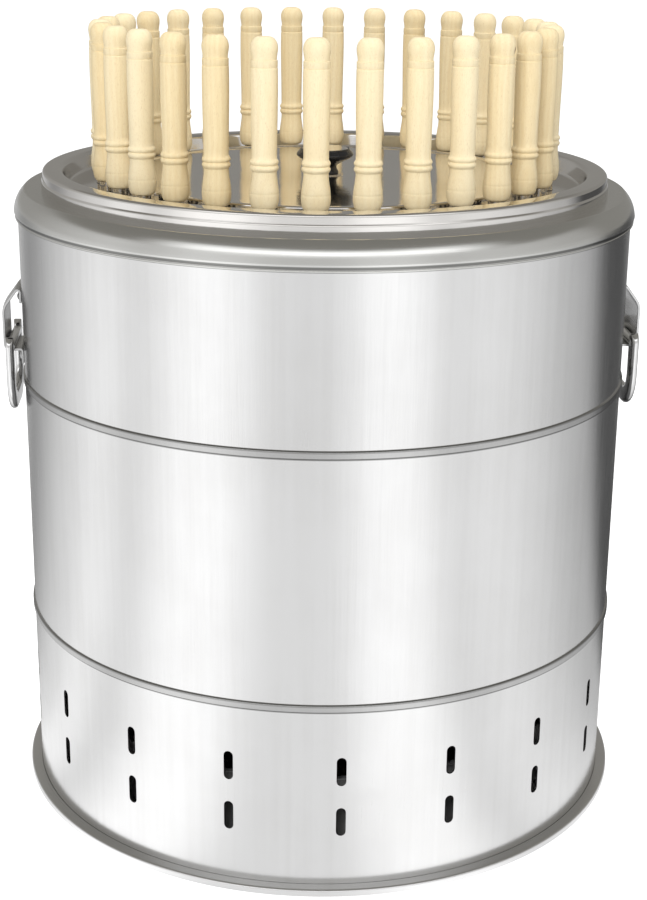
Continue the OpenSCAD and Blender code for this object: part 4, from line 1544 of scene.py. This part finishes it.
@dataclass
class Studio:
    """A plain pale floor and backdrop, soft lamps and the camera of the photograph."""

    distance: float = 1.0985
    eye_height: float = 0.5783
    pitch: float = 18.009
    roll: float = 0.609
    yaw: float = 0.057
    azimuth: float = -4.0
    focal_px: float = 1679.4
    image_h_px: float = 900.0
    sensor_mm: float = 36.0
    floor_rings: tuple = (0.0, 0.6, 2.0, 12.0)
    floor_steps: int = 96
    floor_tone: float = 0.85
    glow: float = 0.7
    sky: float = 0.5
    front: float = 0.88
    dimmest: float = 0.08
    haze: tuple = (0.24, 0.232, 0.212)
    panel: float = 1.6
    panel_spread: tuple = (42.0, 84.0)
    panel_foot: tuple = (0.4, 0.49)
    panel_head: tuple = (0.62, 0.78)
    horizon: tuple = (-0.04, 0.06)
    horizon_share: float = 0.6
    tent_loss: float = 0.75
    panel_loss: float = 0.55
    second_bounce: tuple = (1.2, 1.8)
    gore_core: float = 0.15
    lamps: tuple = (
        ("key_lamp", (-0.7, -2.1, 1.7), 1.2, 34.0),
        ("fill_lamp", (1.7, -1.2, 1.6), 1.3, 9.0),
        ("top_lamp", (0.1, 0.4, 2.4), 1.4, 14.0),
    )
    gores: tuple = ((-44.6, 27.0, 0.4), (19.5, 22.0, 0.38), (-86.0, 15.0, 0.18), (55.0, 14.0, 0.07))
    falls: tuple = ((62.0, 103.0, 0.36), (101.0, 119.0, 0.45), (-94.0, -146.0, 0.62), (-150.0, -179.0, 0.2))
    back_gores: tuple = ((180.0, 46.0, 0.5), (-180.0, 46.0, 0.5))

    def camera(self) -> None:
        """Places the camera as fitted to the photograph.

        The view's forward axis is tilted down by the pitch; right and up are then turned by the roll, and
        the whole is turned about the barrel's axis by the azimuth.
        """
        pitch, roll, yaw = (math.radians(a) for a in (self.pitch, self.roll, self.yaw))
        forward = Vector((math.sin(yaw) * math.cos(pitch), math.cos(yaw) * math.cos(pitch), -math.sin(pitch)))
        right = Vector((math.cos(yaw), -math.sin(yaw), 0.0))
        up = right.cross(forward)
        rolled_right = right * math.cos(roll) + up * math.sin(roll)
        rolled_up = up * math.cos(roll) - right * math.sin(roll)
        axes = Matrix((rolled_right, rolled_up, -forward)).transposed().to_4x4()
        place = Matrix.Translation((0.0, -self.distance, self.eye_height))
        data = bpy.data.cameras.new("photo_camera")
        data.sensor_width = self.sensor_mm
        data.lens = self.focal_px * self.sensor_mm / self.image_h_px
        eye = bpy.data.objects.new("photo_camera", data)
        eye.matrix_world = Matrix.Rotation(math.radians(self.azimuth), 4, "Z") @ place @ axes
        bpy.context.scene.collection.objects.link(eye)
        bpy.context.scene.camera = eye

    def _seen(self, graph: Graph) -> tuple[Socket, Socket, Socket]:
        """How a ray comes to the studio.

        Args:
            graph: the graph to add to.

        Returns:
            Whether it comes from the camera or through glass, whether it comes off a shiny face, and whether
            it has met two shiny faces.
        """
        path = graph.node("ShaderNodeLightPath")
        camera, glass, shiny, bounces = (
            graph.out(path, name)
            for name in ("Is Camera Ray", "Is Transmission Ray", "Is Glossy Ray", "Glossy Depth")
        )
        again = graph.between(bounces, 0.0, 1.0, *self.second_bounce)
        return graph.math("MAXIMUM", camera, glass), shiny, again

    def _bearing(self, graph: Graph, place: Socket) -> Socket:
        """The angle of a place or direction about the barrel's axis, from the front towards +X."""
        x, y, _ = graph.parts(place)
        return graph.math("ARCTAN2", x, y * -1.0) * (180 / math.pi)

    def _tent(self, graph: Graph, angle: Socket, gores: tuple) -> Socket:
        """How bright the white tent round the grill is at an angle, for shiny faces.

        It is even at the front, has brighter gores and falls off towards the sides and the back, in falls
        of (start, end, drop).

        Args:
            graph: the graph to add to.
            angle: the angle about the axis.
            gores: the brighter strips, as (middle, width, rise).

        Returns:
            The brightness.
        """
        level: Input = self.front
        for middle, width, rise in gores:
            away = graph.math("ABSOLUTE", angle - middle)
            level = graph.between(away, rise, 0.0, width * self.gore_core, width) + level
        for start, end, drop in self.falls:
            level = level - graph.between(angle, 0.0, drop, start, end)
        return graph.math("MAXIMUM", level, self.dimmest)

    def floor(self) -> None:
        """Lays the floor: a disc that looks white, keeps the shadow and shows the tent to shiny faces."""
        angles = np.linspace(0, FULL_TURN, self.floor_steps + 1)[:-1]
        rings = np.array(self.floor_rings)[:, None] / MM
        disc = Surface.grid(around(rings, angles, 0.0), wrap_columns=True)
        mesh = bpy.data.meshes.new("studio_floor")
        mesh.from_pydata((disc.points * MM).tolist(), [], disc.faces)
        material, graph = new_graph("studio_floor")
        straight, shiny, again = self._seen(graph)
        matt = graph.out(graph.node("ShaderNodeBsdfDiffuse", Color=(self.floor_tone,) * 3))
        glow = graph.out(graph.node("ShaderNodeEmission", Color=WHITE, Strength=self.glow))
        lit = graph.out(graph.node("ShaderNodeAddShader", in_0=matt, in_1=glow))
        bearing = self._bearing(graph, graph.here())
        bright = self._tent(graph, bearing, self.gores + self.back_gores) * (1 - again * self.tent_loss)
        tent = graph.out(graph.node("ShaderNodeEmission", Strength=bright))
        plain = graph.out(graph.node("ShaderNodeMixShader", in_0=straight, in_1=matt, in_2=lit))
        ends = graph.out(graph.node("ShaderNodeMixShader", in_0=shiny, in_1=plain, in_2=tent))
        graph.node("ShaderNodeOutputMaterial", Surface=ends)
        mesh.materials.append(material)
        obj = bpy.data.objects.new("studio_floor", mesh)
        bpy.context.scene.collection.objects.link(obj)

    def world(self) -> None:
        """Sets the world: white to the camera, an even sky to matt faces and the tent to shiny ones.

        Shiny faces see the tent at the horizon, a white panel above it at the front and haze elsewhere.
        """
        world = bpy.data.worlds.new("studio_world")
        world.use_nodes = True
        bpy.context.scene.world = world
        graph = Graph(world.node_tree)
        straight, shiny, again = self._seen(graph)
        direction = graph.out(graph.node("ShaderNodeTexCoord"), "Generated")
        _, _, rise = graph.parts(direction)
        angle = self._bearing(graph, direction)
        away = graph.math("ABSOLUTE", angle - self.azimuth)
        panel = graph.between(away, self.panel, 0.0, *self.panel_spread)
        panel = panel * graph.between(rise, 0.0, 1.0, *self.panel_foot)
        panel = panel * graph.between(rise, 1.0, 0.0, *self.panel_head) * (1 - again * self.panel_loss)
        low = self._tent(graph, angle, self.gores) * (1 - again * self.tent_loss)
        low = low * graph.between(rise, 1.0, self.horizon_share, *self.horizon)
        low = low * graph.between(rise, 1.0, 0.0, *self.panel_foot)
        bright = graph.math("MAXIMUM", low, panel)
        tent = graph.colours(graph.math("MINIMUM", bright, 1.0), self.haze, WHITE)
        colour = graph.colours(shiny * (1 - straight), WHITE, tent)
        bounced = shiny * graph.math("MAXIMUM", bright, 1.0) + (1 - shiny) * self.sky
        level = straight + (1 - straight) * bounced
        background = graph.node("ShaderNodeBackground", Color=colour, Strength=level)
        graph.node("ShaderNodeOutputWorld", Surface=graph.out(background))

    def lights(self) -> None:
        """Hangs the soft lamps, each aimed at the middle of the barrel."""
        low, high = (Vector(corner) for corner in CAD_BOX)
        target = (low + high) / 2
        for name, place, size, power in self.lamps:
            data = bpy.data.lights.new(name, "AREA")
            data.shape = "DISK"
            data.size = size
            data.energy = power
            lamp = bpy.data.objects.new(name, data)
            lamp.location = place
            lamp.rotation_euler = (target - Vector(place)).to_track_quat("-Z", "Y").to_euler()
            lamp.visible_glossy = False
            bpy.context.scene.collection.objects.link(lamp)

    def build(self) -> None:
        """Sets up the whole studio."""
        bpy.context.scene.view_settings.view_transform = "Standard"
        self.camera()
        self.floor()
        self.world()
        self.lights()


def main() -> None:
    """Builds the studio and every sub-assembly in order."""
    logging.basicConfig(level=logging.INFO, format="%(name)s: %(message)s")
    finishes = make_finishes()
    Studio().build()
    for assembly in (Barrel, DropHandles, SkewerTray, InnerLid, Skewers, Firebox):
        LOG.info("building %s", assembly.__name__)
        assembly(finishes).build()


if __name__ == "__main__":
    main()
